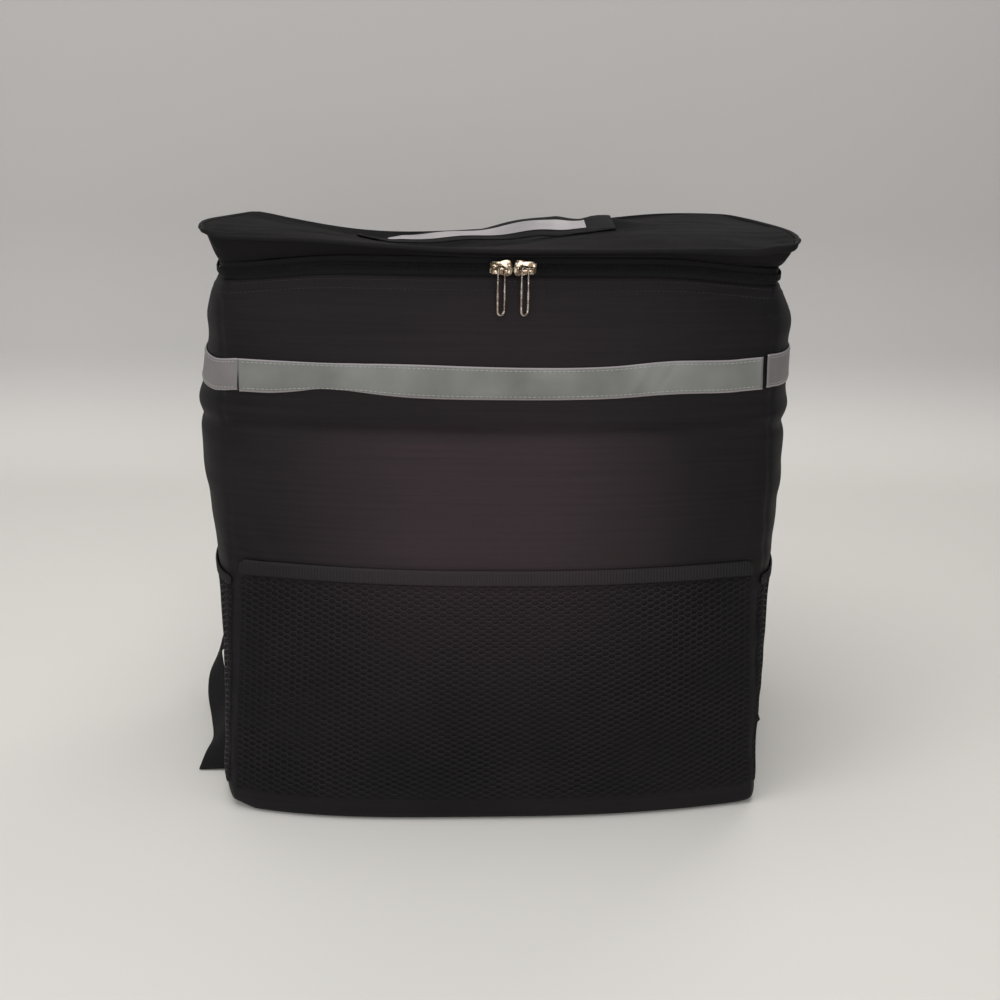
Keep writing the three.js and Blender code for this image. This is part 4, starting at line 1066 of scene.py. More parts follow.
@dataclass
class SewnOn:
    """The tapes, net pockets and hems that lie on the body."""

    frame: Frame
    piece: Piece
    skin: BVHTree
    stand: float = 0.5 * MM
    tape_reach: dict[Face, tuple[float, float]] = field(default_factory=lambda: {
        Face.FRONT: (-1.8 * MM, 0.0), Face.LEFT: (0.0, 6.7 * MM), Face.RIGHT: (0.0, 0.0),
    })
    tape_sag: float = 3.0 * MM
    tape_droop: float = 3.2 * MM
    tape_folds: tuple[Fold, ...] = (
        Fold((0.056, -0.004), (0.094, 0.028), 3.5 * MM, -0.3 * MM),
        Fold((0.07, -0.004), (0.105, 0.03), 4 * MM, 0.5 * MM),
        Fold((0.312, -0.004), (0.334, 0.03), 3 * MM, -0.3 * MM),
        Fold((0.296, 0.0), (0.31, 0.025), 4 * MM, 0.4 * MM),
        Fold((0.2, 0.0), (0.215, 0.025), 5 * MM, 0.3 * MM),
    )
    tape_rise: float = 0.9 * MM
    tape_puff: float = 0.35 * MM
    tape_wave: float = 0.5 * MM
    turned_edge: float = 0.5 * MM
    turned_width: float = 3 * MM
    tape_thickness: float = 0.8 * MM
    tape_step: float = 1.8 * MM
    tape_sewing: Sewing = Sewing(3.6 * MM, 2.7 * MM, 0.26 * MM)
    stitch_inset: float = 2.6 * MM
    hem_rise: float = 1.3 * MM
    hem_round: float = 0.4 * MM
    hem_thickness: float = 1.2 * MM
    rib_depth: float = 0.55 * MM
    points_a_rib: int = 6
    cell_across: float = 5.2 * MM
    cell_up: float = 5.1 * MM
    seam_allowance: float = 2.5 * MM
    rim_sewing: Sewing = Sewing(3.4 * MM, 2.5 * MM, 0.22 * MM)
    rim_seam_depths: tuple[float, ...] = (2.5 * MM, 9 * MM)
    rim_seam_turn: float = 2.2  # radians that it runs round to each side from the front
    hole_across: float = 1.0
    hole_up: float = 0.82
    thread_rise: float = 0.35 * MM
    net_thickness: float = 0.4 * MM
    net_slack: float = 1.2 * MM
    net_wave: float = 0.3 * MM
    strand_share: float = 0.45

    def patch(self, node: str, face: Face, count: int, rows: int) -> Patch:
        """The part of the dressed body that a sewn-on node covers, seen from one side."""
        low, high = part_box(node)
        ends = {
            Face.FRONT: (low.x, high.x), Face.RIGHT: (low.y, high.y), Face.LEFT: (-high.y, -low.y),
        }[face]
        tree = self.frame.tree(node)
        middle = sum(ends) / 2
        foot, top = self.frame.span(node, face, middle)

        def is_whole(place: float) -> bool:
            found = self.frame.span(node, face, place)
            return found is not None and found[1] - found[0] > top - foot - 3 * MM

        whole = [last_place(middle, end, is_whole, 11) for end in ends]
        edges = []
        for level, inward in ((0, 1), (1, -1)):
            reach = []
            for inside, end in zip(whole, ends):
                height = self.frame.span(node, face, inside)[level] + inward * 0.8 * MM
                reach.append(last_place(
                    inside, end + (end - middle) * 0.02,
                    lambda place: tree.ray_cast(*face.ray(place, height), REACH)[0] is not None, 11,
                ))
            places = np.linspace(*reach, count)
            heights = [self.frame.span(node, face, p)[level] for p in np.clip(places, *whole)]
            edges.append(np.column_stack([places, heights]))
        return Patch.under(tree, self.skin, face, *edges, rows)

    def tape(self, node: str, face: Face) -> list[list[Matrix]]:
        """One strip of reflective tape.

        Args:
            node: the CAD node.
            face: the side that it lies on.

        Returns:
            The placements of its two rows of stitches.
        """
        sag = self.tape_sag if face is Face.LEFT else 0.0
        droop = self.tape_droop if face is Face.FRONT else 0.0
        patch = self.patch(node, face, 150, 14).eased(self.skin, self.tape_reach[face], sag, droop)
        wide, tall = patch.width(), patch.height()
        folds = self.tape_folds if face is Face.FRONT else ()

        def lift(u: np.ndarray, v: np.ndarray) -> np.ndarray:
            flat = np.column_stack([u * wide, v * tall, np.full(len(u), 0.3)])
            puffed = (1 - (2 * v - 1) ** 6) * self.tape_puff
            wave = noise_at(flat * (1, 1.6, 1), 0.03, 5.0) * self.tape_wave * (1 - (2 * v - 1) ** 4)
            from_end = np.minimum(u, 1 - u) * wide
            turned = np.exp(-((from_end / self.turned_width) ** 4)) * self.turned_edge
            creased = sum(fold.height(flat[:, 0], flat[:, 1]) for fold in folds)
            return self.stand + self.tape_rise + puffed + wave + turned + creased

        made = patch.cloth(int(wide / self.tape_step), 16, lift, self.tape_thickness)
        name = node.replace("reflective_tape", "tape_strip")
        finish = "reflective tape" if face is Face.FRONT else "side tape"
        strip = self.piece.dress(to_object(made, name), finish, Slot.REFLECTIVE, [node])
        rows = []
        for v in (self.stitch_inset / tall, 1 - self.stitch_inset / tall):
            u = np.linspace(0.006, 0.994, 240)
            level = np.full(len(u), v)
            at, out = patch.read(u, level)
            raised = at + out * lift(u, level)[:, None]
            rows.append(self.tape_sewing.row(raised, out))
        return rows

    def hem(self, node: str, face: Face, rib: float) -> None:
        """A knitted hem with upright ribs."""
        patch = self.patch(node, face, 120, 8)
        wide = patch.width()

        def lift(u: np.ndarray, v: np.ndarray) -> np.ndarray:
            ribs = np.abs(np.sin(u * wide * math.pi / rib)) ** 0.7 * self.rib_depth
            edge = 1 - (2 * v - 1) ** 8
            return self.stand + self.hem_rise + (ribs + self.hem_round) * edge

        made = patch.cloth(int(wide / rib * self.points_a_rib), 10, lift, self.hem_thickness)
        hem = self.piece.dress(to_object(made, f"{node}_band"), "knitted hem", Slot.TRIM, [node])
        tall = patch.height()
        cut = (tall + self.seam_allowance, wide)
        tall * wide

    def cell(self) -> bpy.types.Mesh:
        """One six-sided cell of the net, flat, with an open middle and threads that rise to their middles."""
        made = bmesh.new()
        turn = Matrix.Rotation(math.pi / 6, 4, "Z")
        bmesh.ops.create_circle(made, cap_ends=True, segments=6, radius=1.0, matrix=turn)
        rim = set(made.verts)
        bmesh.ops.inset_individual(made, faces=made.faces, thickness=0.2)
        for vert in made.verts:
            if vert in rim:
                vert.co.z = 1.0
            else:
                vert.co.x *= self.hole_across
                vert.co.y *= self.hole_up
        middle = min(made.faces, key=lambda f: f.calc_center_median().length)
        bmesh.ops.delete(made, geom=[middle], context="FACES_ONLY")
        return to_mesh(made, "cell")

    def net(self, node: str, face: Face) -> None:
        """A knitted net of six-sided cells, cut through."""
        patch = self.patch(node, face, 90, 40)
        wide, tall = patch.width(), patch.height()
        columns = int(wide / self.cell_across)
        rows = int(tall / self.cell_up)
        pitch_across, pitch_up = wide / (columns + 1 / 3), tall / (rows + 0.5)
        size = (pitch_across * 2 / 3, pitch_up / math.sqrt(3), self.thread_rise, 1)
        turns = []
        for i in range(columns):
            for j in range(rows):
                at = ((i + 2 / 3) * pitch_across, (j + 0.5 + 0.5 * (i % 2)) * pitch_up, 0)
                turns.append(Matrix.Translation(at) @ Matrix.Diagonal(size))
        made = bmesh.new()
        made.from_mesh(scattered(self.cell(), turns, f"{node}_flat"))
        bmesh.ops.remove_doubles(made, verts=made.verts, dist=pitch_across * 0.02)
        made.verts.ensure_lookup_table()
        places = np.array([v.co for v in made.verts])
        u, v = np.clip(places[:, 0] / wide, 0, 1), np.clip(places[:, 1] / tall, 0, 1)
        at, out = patch.read(u, v)
        slack = (1 - np.abs(2 * u - 1) ** 4) * v * self.net_slack
        wave = noise_at(places, 0.05, 2.0) * self.net_wave
        stands = self.stand + self.net_thickness + slack + wave + places[:, 2]
        raised = at + out * stands[:, None]
        for k, vert in enumerate(made.verts):
            vert.co = raised[k]
        made.normal_update()
        bmesh.ops.solidify(made, geom=made.faces, thickness=self.net_thickness)
        net = self.piece.dress(to_object(made, f"{node}_mesh"), "net thread", Slot.NET, [node])
        solid_part = 1 - (1 - self.strand_share) ** 2
        solid_part * wide * tall

    def rim_seams(self) -> None:
        """The two rows of sewing that hold the zip's tape to the body's rim."""
        rows = []
        for below in self.rim_seam_depths:
            line, out = [], []
            for angle in np.linspace(-self.rim_seam_turn, self.rim_seam_turn, 220):
                top = self.frame.span("body_shell", Face.AROUND, angle)[1]
                start, way = Face.AROUND.ray(angle, top - below)
                hit, normal = self.skin.ray_cast(start, way, REACH)[:2]
                if hit:
                    line.append(hit)
                    out.append(normal)
            rows.append(self.rim_sewing.row(np.array(line), np.array(out)))
        self.piece.stitches("rim_stitches", rows, self.rim_sewing, "dark thread", Slot.TRIM)

    def build(self) -> None:
        """Makes all that is sewn on the front and the sides."""
        self.rim_seams()
        sides = {"right": Face.RIGHT, "left": Face.LEFT}
        rows = []
        for name, face in {"front": Face.FRONT, **sides}.items():
            rows += self.tape(f"reflective_tape_{name}", face)
        self.piece.stitches("tape_stitches", rows, self.tape_sewing, "pale thread", Slot.REFLECTIVE)
        self.hem("pocket_hem", Face.FRONT, 2.5 * MM)
        self.net("pocket_net", Face.FRONT)
        for name, face in sides.items():
            self.hem(f"side_pocket_hem_{name}", face, 2.0 * MM)
            self.net(f"side_pocket_net_{name}", face)


@dataclass
class LidTop:
    """The lid, its piped edge and the cloth strip that it swings on."""

    frame: Frame
    piece: Piece
    levels: int = 3
    plump: float = 0.5 * MM
    broad_slack: float = 1.8 * MM
    small_slack: float = 0.7 * MM
    skirt_slack: float = 0.5 * MM
    crumple: float = 2.6 * MM
    crumple_reach: float = 45 * MM
    mound: float = 9.0 * MM
    mound_width: float = 30 * MM

    def crumpled(self, mesh: bpy.types.Mesh) -> None:
        """Crumples the cloth round the lid's front corners, alike in all that is sewn together there."""
        low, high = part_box("lid")
        points = points_of(mesh)
        size = np.zeros(len(points))
        for corner in (low.x, high.x):
            away = np.hypot(points[:, 0] - corner, points[:, 1] - low.y)
            size += np.exp(-((away / self.crumple_reach) ** 2))
        ways = [noise_at(points * (1, 1, 0.8), 0.015, seed) for seed in (8.0, 21.0, 34.0)]
        moved = np.column_stack([way * size * self.crumple for way in ways]) * (0.8, 0.6, 1.0)
        mesh.vertices.foreach_set("co", (points + moved).ravel())
        mesh.update()

    def under_handle(self, points: np.ndarray) -> np.ndarray:
        """How far the lid is pulled up behind the right end of its handle."""
        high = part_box("handle_strap")[1]
        x = points[:, 0] - (high.x - 12 * MM)
        y = points[:, 1] / high.y
        rise = step_between(y, -1.0, 0.9) * (1 - step_between(y, 1.2, 3.4))
        return self.mound * np.exp(-((x / self.mound_width) ** 2)) * rise

    def build(self) -> BVHTree:
        """Makes the lid's pieces.

        Returns:
            The lid's surface, for the handle that lies on it.
        """
        mesh = refined(self.frame.merged("lid"), "lid", self.levels, sharp=50.0, crease=0.5)

        def height(points: np.ndarray, normals: np.ndarray) -> np.ndarray:
            up = step_between(normals[:, 2], 0.5, 0.9)
            out = 1 - step_between(np.abs(normals[:, 2]), 0.3, 0.7)
            broad = noise_at(points * (1, 1.4, 1), 0.09, 6.0) * self.broad_slack
            small = noise_at(points * (0.8, 1.8, 1), 0.035, 12.0) * self.small_slack
            skirt = noise_at(points * (0.5, 0.5, 4.0), 0.03, 4.0) * self.skirt_slack
            raised = self.under_handle(points) * up
            return self.plump + (broad + small) * up + skirt * out + raised

        swell(mesh, height)
        self.crumpled(mesh)
        # painted light: faces that look down and out are marked for the lid cloth's lighter skirt colour
        under = mesh.attributes.new(UNDERSIDE_LIGHT, "FLOAT", "POINT")
        under.data.foreach_set("value", 1 - step_between(normals_of(mesh)[:, 2], -0.1, 0.5))
        box_unwrap(mesh)
        tree = surface_of(mesh)
        lid = self.piece.dress(to_object(mesh, "lid_cloth"), "lid cloth", Slot.CLOTH, ["lid"])
        piping = refined(self.frame.merged("lid_piping"), "piping", 2, sharp=120.0)
        self.crumpled(piping)
        box_unwrap(piping)
        self.piece.dress(to_object(piping, "lid_binding"), "binding", Slot.TRIM, ["lid_piping"])
        strip = refined(self.frame.merged("lid_hinge_strip"), "strip", 2, sharp=60.0)
        box_unwrap(strip)
        self.piece.dress(to_object(strip, "hinge_cloth"), "bag cloth", Slot.CLOTH, ["lid_hinge_strip"])
        return tree


@dataclass
class ZipRun:
    """The zip: its tape, its coils, and the sliders with their pulls."""

    frame: Frame
    piece: Piece
    tooth_pitch: float = 1.5 * MM
    tooth_radius: float = 0.42 * MM
    tooth_reach: float = 3.3 * MM
    chain_height: float = 4 * MM  # what is lower is only the chain's end
    chain_smoothing: float = 6 * MM
    slider_edge: float = 0.35 * MM
    wire_gain: float = 0.5 * MM

    def coil(self, node: str) -> list[Matrix]:
        """Placements of the coil's turns along a chain node."""
        line = []
        for angle in np.linspace(-math.pi * 0.999, math.pi * 0.999, 700):
            heights = self.frame.span(node, Face.AROUND, angle)
            if heights is None or heights[1] - heights[0] < self.chain_height:
                continue
            start, way = Face.AROUND.ray(angle, sum(heights) / 2)
            hit = self.frame.tree(node).ray_cast(start, way, REACH)[0]
            if hit:
                line.append(hit)
        even = spaced(chaikin(spaced(np.array(line), self.chain_smoothing)), self.tooth_pitch / 2)
        turns = []
        for k in range(len(even) - 1):
            along = Vector(even[k + 1] - even[k])
            out = Vector((along.y, -along.x, 0)).normalized()
            up = out.cross(along).normalized()
            side = 1 if k % 2 else -1
            at = Vector(even[k]) - out * self.tooth_radius * 2.2 + up * side * self.tooth_reach * 0.32
            turns.append(turn_to(at, up, out))
        return turns

    def build(self) -> None:
        """Makes the zip's pieces."""
        tape = refined(self.frame.merged("zip_tape"), "tape", 2, sharp=50.0, crease=0.8)
        box_unwrap(tape)
        self.piece.dress(to_object(tape, "zip_cloth"), "zip tape", Slot.TRIM, ["zip_tape"])
        for side in SIDES:
            node = f"zip_chain_{side}"
            tooth = stitch_template(self.tooth_reach, self.tooth_radius)
            mesh = scattered(tooth, self.coil(node), f"coil_{side}")
            self.piece.dress(to_object(mesh, f"zip_coil_{side}"), "zip coil", Slot.TRIM, [node])
        for side in SIDES:
            slider = softened(self.frame.merged(f"slider_{side}"), self.slider_edge, 2)
            self.piece.dress(
                to_object(slider, f"slider_{side}_metal"), "pale nickel", Slot.NICKEL, [f"slider_{side}"],
            )
            loop = refined(self.frame.merged(f"pull_{side}"), "pull", 2, sharp=170.0)
            swell(loop, lambda at, _: self.wire_gain * (1 - step_between(at[:, 2], 0.434, 0.442)))
            self.piece.dress(
                to_object(loop, f"pull_loop_{side}"), "nickel wire", Slot.NICKEL, [f"pull_{side}"],
                f"{side}_pull",
            )


@dataclass
class Ribbon:
    """A flat band's path, with the direction of its width and its face at each point."""

    centre: np.ndarray
    wide: np.ndarray
    out: np.ndarray
    width: float
    thickness: float

    @classmethod
    def of(cls, frame: Frame, node: str, first: Vector) -> "Ribbon":
        """Reads the path of a lofted band, from the end nearest a place."""
        made = frame.merged(node)
        ends = [v for v in made.verts if len(v.link_edges) == 4]
        ring = [min(ends, key=lambda v: (v.co - first).length)]
        seen = set(ring)
        sections = []
        while True:
            beyond = {e.other_vert(v) for v in ring for e in v.link_edges} - seen
            if len(beyond) < 4:
                break
            seen |= beyond
            # a set has no order of its own, and every run has to give the same band
            corners = sorted(beyond, key=lambda v: (v.co.y, v.co.x, v.co.z), reverse=True)
            ring = cls.in_order(corners, ring)
            sections.append([v.co.copy() for v in ring])
        at = np.array(sections)
        made.free()
        first_side = at[:, 1] - at[:, 0]
        second_side = at[:, 2] - at[:, 1]
        sides = sorted((first_side, second_side), key=lambda side: np.linalg.norm(side, axis=1).mean())
        thickness, width = (np.linalg.norm(side, axis=1).mean() for side in sides)
        return cls(at.mean(axis=1), unit(sides[1]), unit(sides[0]), width, thickness)

    @staticmethod
    def in_order(found: list, before: list) -> list:
        """Puts a section's four corners in the order of those before, or in order round the first one."""
        if len(before) < 4:
            first = found[0]
            far = max(found, key=lambda v: (v.co - first.co).length)
            beside = [v for v in found if v not in (first, far)]
            return [first, beside[0], far, beside[1]]

        def shift(order: tuple) -> float:
            return sum((a.co - b.co).length_squared for a, b in zip(order, before))

        return list(min(itertools.permutations(found), key=shift))

    def fine(self, pitch: float, times: int = 2) -> "Ribbon":
        """The same band with smooth points at an even pitch."""
        both = np.column_stack([self.centre, self.wide, self.out])
        for _ in range(times):
            both = chaikin(both)
        along = lengths_along(both[:, :3])
        at = np.linspace(0, along[-1], int(along[-1] / pitch) + 1)
        even = np.column_stack([np.interp(at, along, both[:, axis]) for axis in range(9)])
        return Ribbon(even[:, :3], unit(even[:, 3:6]), unit(even[:, 6:9]), self.width, self.thickness)

    def length(self) -> float:
        """The band's length."""
        return float(lengths_along(self.centre)[-1])

    def cloth(self, around: int = 20, lift: Height | None = None) -> bmesh.types.BMesh:
        """The band as a closed piece of webbing with rounded edges.

        Args:
            around: points round its section.
            lift: how far its middle is lifted, at shares along and across.

        Returns:
            The webbing, with its flat coordinates.
        """
        steps = len(self.centre)
        made, column, row = grid(steps, around + 1)
        angle = math.tau * row / around
        across = np.sign(np.cos(angle)) * np.abs(np.cos(angle)) ** 0.25
        through = np.sign(np.sin(angle)) * np.abs(np.sin(angle)) ** 0.6
        at = self.centre[column] + self.wide[column] * (across * self.width / 2)[:, None]
        rise = through * self.thickness / 2
        if lift is not None:
            rise = rise + lift(column / (steps - 1), across)
        flat = np.column_stack([across * self.width / 2, lengths_along(self.centre)[column]])
        laid_out(made, at + self.out[column] * rise[:, None], flat)
        bmesh.ops.remove_doubles(made, verts=made.verts, dist=0.001 * MM)
        rim = [e for e in made.edges if len(e.link_faces) == 1]
        bmesh.ops.holes_fill(made, edges=rim, sides=0)
        bmesh.ops.recalc_face_normals(made, faces=made.faces)
        return made

    def line(self, across: float, lift: float, first: float, last: float) -> tuple[np.ndarray, np.ndarray]:
        """A line along the band's face between two shares of its length, with its normals."""
        steps = len(self.centre)
        part = slice(int(first * (steps - 1)), int(last * (steps - 1)) + 1)
        at = self.centre[part] + self.wide[part] * across + self.out[part] * lift
        return at, self.out[part]


@dataclass
class Handle:
    """The carrying handle: webbing with a reflective stripe, sewn down at both ends."""

    frame: Frame
    piece: Piece
    lid: BVHTree
    pitch: float = 1.5 * MM
    lean: float = 17.0  # degrees that its slack part rolls to the front
    sewn: tuple[float, float] = (0.06, 0.11)  # shares of its length that are sewn down at its ends
    slack: tuple[float, float] = (0.2, 0.9)  # shares between which it lies low
    lie: float = 0.75  # how much of its arch is gone there
    ripples: tuple[float, float] = (0.9 * MM, 0.7 * MM)
    sewing: Sewing = Sewing(3 * MM, 2.3 * MM, 0.25 * MM)

    def upwards(self, ribbon: Ribbon) -> Ribbon:
        """The same band with its face turned up and rolled a little to the front."""
        middle = len(ribbon.out) // 2
        up = math.copysign(1, ribbon.out[middle][2])
        back = math.copysign(1, ribbon.wide[middle][1])
        wide, out = ribbon.wide * back, ribbon.out * up
        share = np.linspace(0, 1, len(wide))[:, None]
        lean = math.radians(self.lean) * step_between(share, 0.3, 0.95)
        leaned = wide * np.cos(lean) + out * np.sin(lean)
        faced = out * np.cos(lean) - wide * np.sin(lean)
        return Ribbon(ribbon.centre, leaned, faced, ribbon.width, ribbon.thickness)

    @staticmethod
    def on_top(strap: Ribbon, stripe: Ribbon) -> Ribbon:
        """The stripe's band, laid on the strap's face between its own two ends."""
        gaps = [np.linalg.norm(strap.centre - end, axis=1) for end in stripe.centre[[0, -1]]]
        ends = [int(np.argmin(gap)) for gap in gaps]
        part = slice(min(ends), max(ends) + 1)
        lift = (strap.thickness + stripe.thickness) / 2 + 0.1 * MM
        centre = strap.centre[part] + strap.out[part] * lift
        return Ribbon(centre, strap.wide[part], strap.out[part], stripe.width, stripe.thickness)

    def seated(self, ribbon: Ribbon, clear: float) -> Ribbon:
        """The same band with its sewn ends laid on the lid.

        Args:
            ribbon: the band.
            clear: how far its middle plane stands off the lid.

        Returns:
            The seated band.
        """
        steps = len(ribbon.centre)
        share = np.linspace(0, 1, steps)
        from_ends = zip((share, 1 - share), self.sewn)
        hold = np.maximum(*(1 - step_between(far, sewn, sewn + 0.12) for far, sewn in from_ends))[:, None]
        sides = []
        for sign in (-1, 1):
            edge = ribbon.centre + ribbon.wide * sign * ribbon.width / 2
            seat = edge.copy()
            for k, point in enumerate(edge):
                above = Vector(point) + Vector((0, 0, 0.03))
                hit = self.lid.ray_cast(above, Vector((0, 0, -1)), 0.09)[0]
                if hit:
                    seat[k] = hit + Vector((0, 0, clear))
            sides.append(edge * (1 - hold) + seat * hold)
        centre = (sides[0] + sides[1]) / 2
        first, last = self.slack
        level = np.interp(share, self.slack, np.interp(self.slack, share, centre[:, 2]))
        past_first = step_between(share, first - 0.08, first + 0.12)
        inside = past_first * (1 - step_between(share, last - 0.06, last + 0.04))
        centre[:, 2] += (level - centre[:, 2]) * inside * self.lie
        wide = unit(sides[1] - sides[0])
        out = np.cross(np.gradient(centre, axis=0), wide)
        return Ribbon(centre, wide, unit(out * np.sign(out[:, 2:3])), ribbon.width, ribbon.thickness)

    def ripple(self, along: np.ndarray, across: np.ndarray) -> np.ndarray:
        """The slack waves of the webbing, greatest in its middle."""
        loose = np.clip(1 - np.abs(2 * along - 1) ** 3, 0, 1)
        short, long = self.ripples
        return loose * (np.sin(along * 21 + across * 1.2) * short + np.sin(along * 9 + 1.0) * long)

    def build(self) -> None:
        """Makes the handle's pieces."""
        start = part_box("handle_strap")[0]
        strap = self.upwards(Ribbon.of(self.frame, "handle_strap", start).fine(self.pitch))
        strap = self.seated(strap, strap.thickness / 2 + 0.4 * MM)
        stripe = self.on_top(strap, Ribbon.of(self.frame, "handle_stripe", start))
        band = to_object(strap.cloth(lift=self.ripple), "handle_webbing")
        webbing = self.piece.dress(band, "webbing", Slot.TRIM, ["handle_strap"])
        strap.length()
        share = stripe.length() / strap.length()

        def stripe_ripple(along: np.ndarray, across: np.ndarray) -> np.ndarray:
            return self.ripple(0.5 + (along - 0.5) * share, across * stripe.width / strap.width)

        band = to_object(stripe.cloth(lift=stripe_ripple), "handle_reflector")
        reflector = self.piece.dress(band, "handle stripe", Slot.REFLECTIVE, ["handle_stripe"])
        stripe.length()
        self.sew_down(strap)

    def sew_down(self, strap: Ribbon) -> None:
        """The box of stitches at each end of the handle."""
        rows = []
        half = strap.width / 2 - 3 * MM
        lift = strap.thickness / 2
        for first, last in ((0.01, 0.11), (0.89, 0.99)):
            for across in (-half, half):
                rows.append(self.sewing.row(*strap.line(across, lift, first, last)))
            for place in (first, last):
                k = int(place * (len(strap.centre) - 1))
                ends = [strap.centre[k] + strap.wide[k] * w + strap.out[k] * lift for w in (-half, half)]
                rows.append(self.sewing.row(np.array(ends), np.array([strap.out[k]] * 2)))
        self.piece.stitches("handle_stitches", rows, self.sewing, "dark thread", Slot.TRIM)


@dataclass
class BackStraps:
    """The shoulder straps on the back, with their yoke, buckles and webbing."""

    frame: Frame
    piece: Piece
    buckle_edge: float = 0.9 * MM

    def soft(self, node: str, name: str, levels: int, lift: float) -> None:
        """A padded piece of cloth from a CAD node."""
        mesh = refined(self.frame.merged(node), name, levels, sharp=45.0, crease=0.35)
        swell(mesh, lambda points, _: noise_at(points * (1, 1, 1.5), 0.05, 8.0) * lift + 0.2 * MM)
        box_unwrap(mesh)
        thing = self.piece.dress(to_object(mesh, name), "bag cloth", Slot.CLOTH, [node])

    def build(self) -> None:
        """Makes the pieces of the back."""
        self.soft("strap_yoke", "yoke_cloth", 3, 0.3 * MM)
        for side in SIDES:
            self.soft(f"{side}_shoulder_strap", f"{side}_shoulder_pad", 3, 0.8 * MM)
            self.soft(f"{side}_anchor_tab", f"{side}_corner_tab", 2, 0.2 * MM)
            self.buckle(side)
            low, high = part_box(f"{side}_buckle")
            near = Vector(((low.x + high.x) / 2, low.y, low.z))
            for node, name, pitch in (
                (f"{side}_webbing", f"{side}_strap_webbing", 2.5 * MM),
                (f"{side}_buckle_loop", f"{side}_holding_loop", 1.5 * MM),
            ):
                ribbon = Ribbon.of(self.frame, node, near).fine(pitch)
                band = self.piece.dress(to_object(ribbon.cloth(16), name), "webbing", Slot.TRIM, [node])
                ribbon.length()

    def buckle(self, side: str) -> None:
        """A moulded three-bar buckle with rounded edges."""
        node = f"{side}_buckle"
        made = softened(self.frame.merged(node), self.buckle_edge, 3)
        thing = to_object(made, f"{side}_three_bar_buckle")
        self.piece.dress(thing, "moulded plastic", Slot.PLASTIC, [node])


@dataclass(frozen=True)
class Camera:
    """The camera at the photograph's place and angle, in metres and degrees."""

    place: tuple[float, float, float] = (-0.042, -1.1025, 0.584)
    yaw: float = 2.5
    pitch: float = 17.93
    roll: float = 1.0
    lens: float = 47.59
    sensor: float = 36.0

    def build(self) -> None:
        """Makes the camera."""
        yaw, pitch, roll = (math.radians(a) for a in (self.yaw, self.pitch, self.roll))
        level = Vector((math.sin(yaw), math.cos(yaw), 0))
        right = Vector((level.y, -level.x, 0))
        ahead = level * math.cos(pitch) - Vector((0, 0, math.sin(pitch)))
        up = right.cross(ahead)
        rolled = right * math.cos(roll) + up * math.sin(roll)
        upright = up * math.cos(roll) - right * math.sin(roll)
        data = bpy.data.cameras.new("camera")
        data.lens = self.lens
        data.sensor_width = self.sensor
        data.sensor_height = self.sensor
        data.sensor_fit = "HORIZONTAL"
        data.clip_start = 0.01
        camera = bpy.data.objects.new("camera", data)
        camera.matrix_world = placement(self.place, rolled, upright, -ahead)
        bpy.context.scene.collection.objects.link(camera)
        bpy.context.scene.camera = camera


@dataclass(frozen=True)
class Lamp:
    """One soft square light that looks at the bag."""

    name: str
    place: tuple[float, float, float]
    size: float
    power: float
    tint: tuple[float, float, float] = (1.0, 1.0, 1.0)

    def build(self) -> None:
        """Makes the light."""
        data = bpy.data.lights.new(self.name, "AREA")
        data.shape = "SQUARE"
        data.size = self.size
        data.energy = self.power
        data.color = self.tint
        lamp = bpy.data.objects.new(self.name, data)
        aim = Vector((0, 0, 0.2)) - Vector(self.place)
        turn = aim.to_track_quat("-Z", "Y").to_matrix().to_4x4()
        turn.translation = Vector(self.place)
        lamp.matrix_world = turn
        bpy.context.scene.collection.objects.link(lamp)


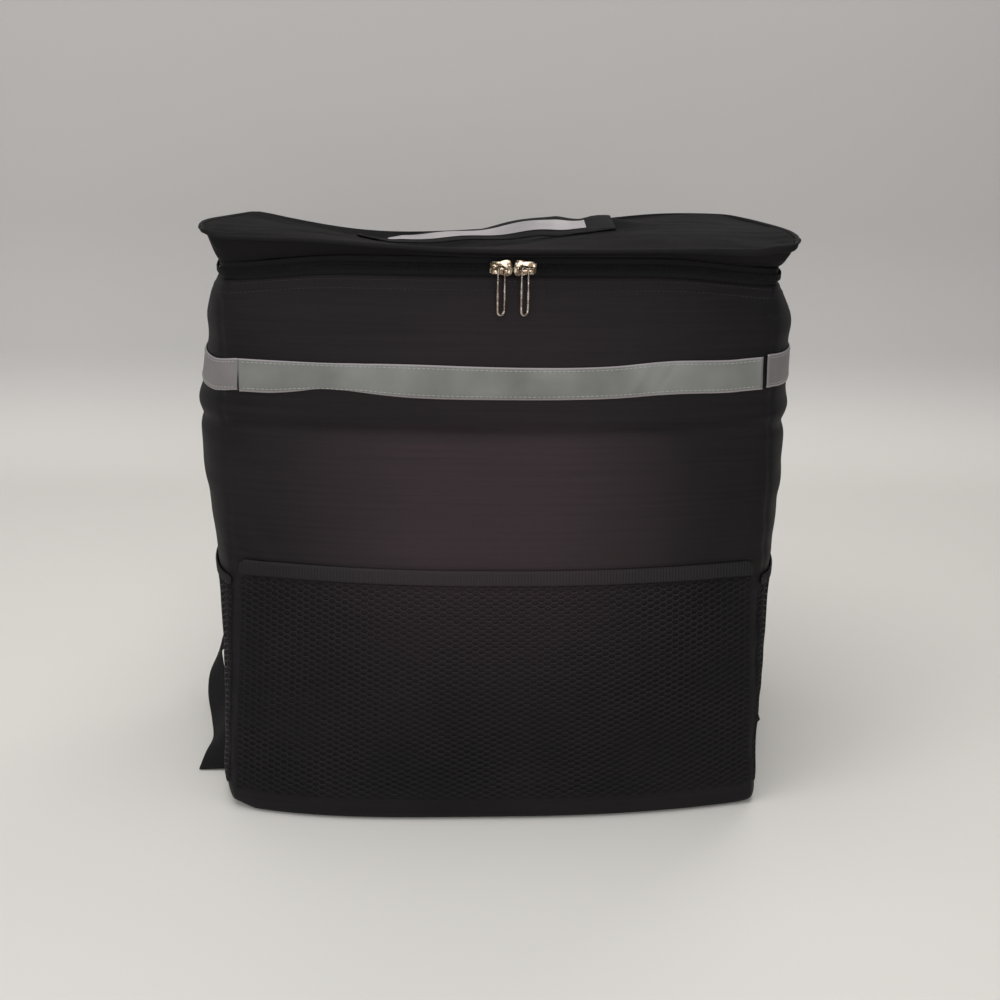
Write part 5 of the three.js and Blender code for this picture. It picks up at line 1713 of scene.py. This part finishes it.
@dataclass(frozen=True)
class Studio:
    """The plain pale floor that curves up into a wall painted darker as painted shade, and the lights."""

    half_width: float = 3.2
    front: float = -3.2
    wall: float = 1.1
    wall_height: float = 3.0
    cove: float = 0.35
    cove_steps: int = 12
    lamps: tuple[Lamp, ...] = (
        Lamp("overhead", (-0.3, -0.5, 2.3), 1.7, 29.0, (1.0, 0.99, 0.97)),
        Lamp("left_fill", (-2.0, -1.3, 1.3), 1.5, 13.0, (0.97, 0.98, 1.0)),
        Lamp("front_fill", (0.2, -2.4, 0.8), 1.0, 15.0, (1.0, 0.97, 0.96)),
        Lamp("back_fill", (0.7, 0.95, 1.5), 0.7, 5.0, (1.0, 0.99, 0.97)),
        Lamp("low_front", (0.0, -1.15, 0.1), 0.3, 1.1, (1.0, 0.94, 0.95)),
    )

    def backdrop(self) -> None:
        """Makes the floor and wall as one sheet."""
        made = bmesh.new()
        first = made.verts.new((-self.half_width, self.front, 0))
        line = [first]
        foot = self.wall - self.cove
        path = [(foot, 0.0)]
        for k in range(1, self.cove_steps + 1):
            angle = math.pi / 2 * k / self.cove_steps
            path.append((foot + self.cove * math.sin(angle), self.cove * (1 - math.cos(angle))))
        path.append((self.wall, self.wall_height))
        for y, z in path:
            line.append(made.verts.new((-self.half_width, y, z)))
        edges = [made.edges.new((a, b)) for a, b in zip(line, line[1:])]
        swept = bmesh.ops.extrude_edge_only(made, edges=edges)
        moved = [v for v in swept["geom"] if isinstance(v, bmesh.types.BMVert)]
        bmesh.ops.translate(made, verts=moved, vec=(2 * self.half_width, 0, 0))
        bmesh.ops.recalc_face_normals(made, faces=made.faces)
        floor = to_object(made, "floor")
        shop = Shop("pale floor")
        place = shop.place()
        height = shop.node("ShaderNodeSeparateXYZ", values={0: place}, output=2)
        cloudy = shop.noise(place, 2.0, 2.0)
        paper = shop.mix(cloudy, colour(0.69, 0.67, 0.635), colour(0.75, 0.73, 0.69))
        # painted shade: the sheet turns darker grey up the cove and the wall, for a wall less lit than the
        # floor
        base = shop.mix(height.between(0.0, 0.16), paper, colour(0.475, 0.46, 0.45))
        floor.data.materials.append(shop.finish(Base_Color=base, Roughness=0.6))

    def build(self) -> None:
        """Makes the studio."""
        self.backdrop()
        for lamp in self.lamps:
            lamp.build()
        world = bpy.data.worlds.new("studio")
        world.use_nodes = True
        world.node_tree.nodes["Background"].inputs["Color"].default_value = colour(0.9, 0.92, 0.95)
        world.node_tree.nodes["Background"].inputs["Strength"].default_value = 0.35
        bpy.context.scene.world = world
        bpy.context.scene.view_settings.view_transform = "Standard"


def finishes() -> dict[str, bpy.types.Material]:
    """Every finish of the bag, by name."""
    kinds = [
        WovenCloth("bag cloth"),
        # lid cloth: the bag cloth painted darker as painted shade on the lid's top, with painted light on its
        # skirt
        WovenCloth(
            "lid cloth", dark=colour(0.003, 0.0027, 0.003), light=colour(0.0065, 0.006, 0.0065), gloss=0.03,
            skirt=colour(0.0102, 0.0094, 0.0102),
        ),
        RibbedWebbing("webbing"),
        RibbedWebbing("binding", rib=1.2 * MM, depth=0.12 * MM),
        RibbedWebbing(
            "zip tape", light=colour(0.0065, 0.006, 0.0065), rib=1.0 * MM, depth=0.12 * MM, ribs_across=True,
        ),
        KnitThread("knitted hem"),
        KnitThread("net thread", gloss=0.19),
        ReflectiveTape("reflective tape"),
        ReflectiveTape("side tape", dark=colour(0.11, 0.1, 0.1), light=colour(0.185, 0.17, 0.172)),
        ReflectiveTape(
            "handle stripe", dark=colour(0.23, 0.213, 0.22), light=colour(0.43, 0.4, 0.41), half_width=1.0,
        ),
        PaleNickel("pale nickel"),
        PaleNickel("nickel wire", clean=colour(0.5, 0.44, 0.39), dull=colour(0.24, 0.19, 0.155), marks=90.0),
        MouldedPlastic("moulded plastic"),
        MouldedPlastic("zip coil", light=colour(0.009, 0.009, 0.0095), roughness=0.5, gloss=0.15),
        SewingThread("pale thread", colour(0.42, 0.42, 0.39)),
        SewingThread("dark thread", colour(0.02, 0.017, 0.019)),
    ]
    return {kind.name: kind.make() for kind in kinds}


def main() -> None:
    """Builds the bag's sub-assemblies in order, then the studio."""
    logging.basicConfig(level=logging.INFO, format="%(name)s: %(message)s")
    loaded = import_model()
    Camera().build()
    frame = Frame(loaded["nodes"])
    piece = Piece(finishes())
    skin = BodyCloth(frame, piece).build()
    lid = LidTop(frame, piece).build()
    ZipRun(frame, piece).build()
    SewnOn(frame, piece, skin).build()
    Handle(frame, piece, lid).build()
    BackStraps(frame, piece).build()
    Studio().build()
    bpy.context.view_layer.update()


if __name__ == "__main__":
    main()
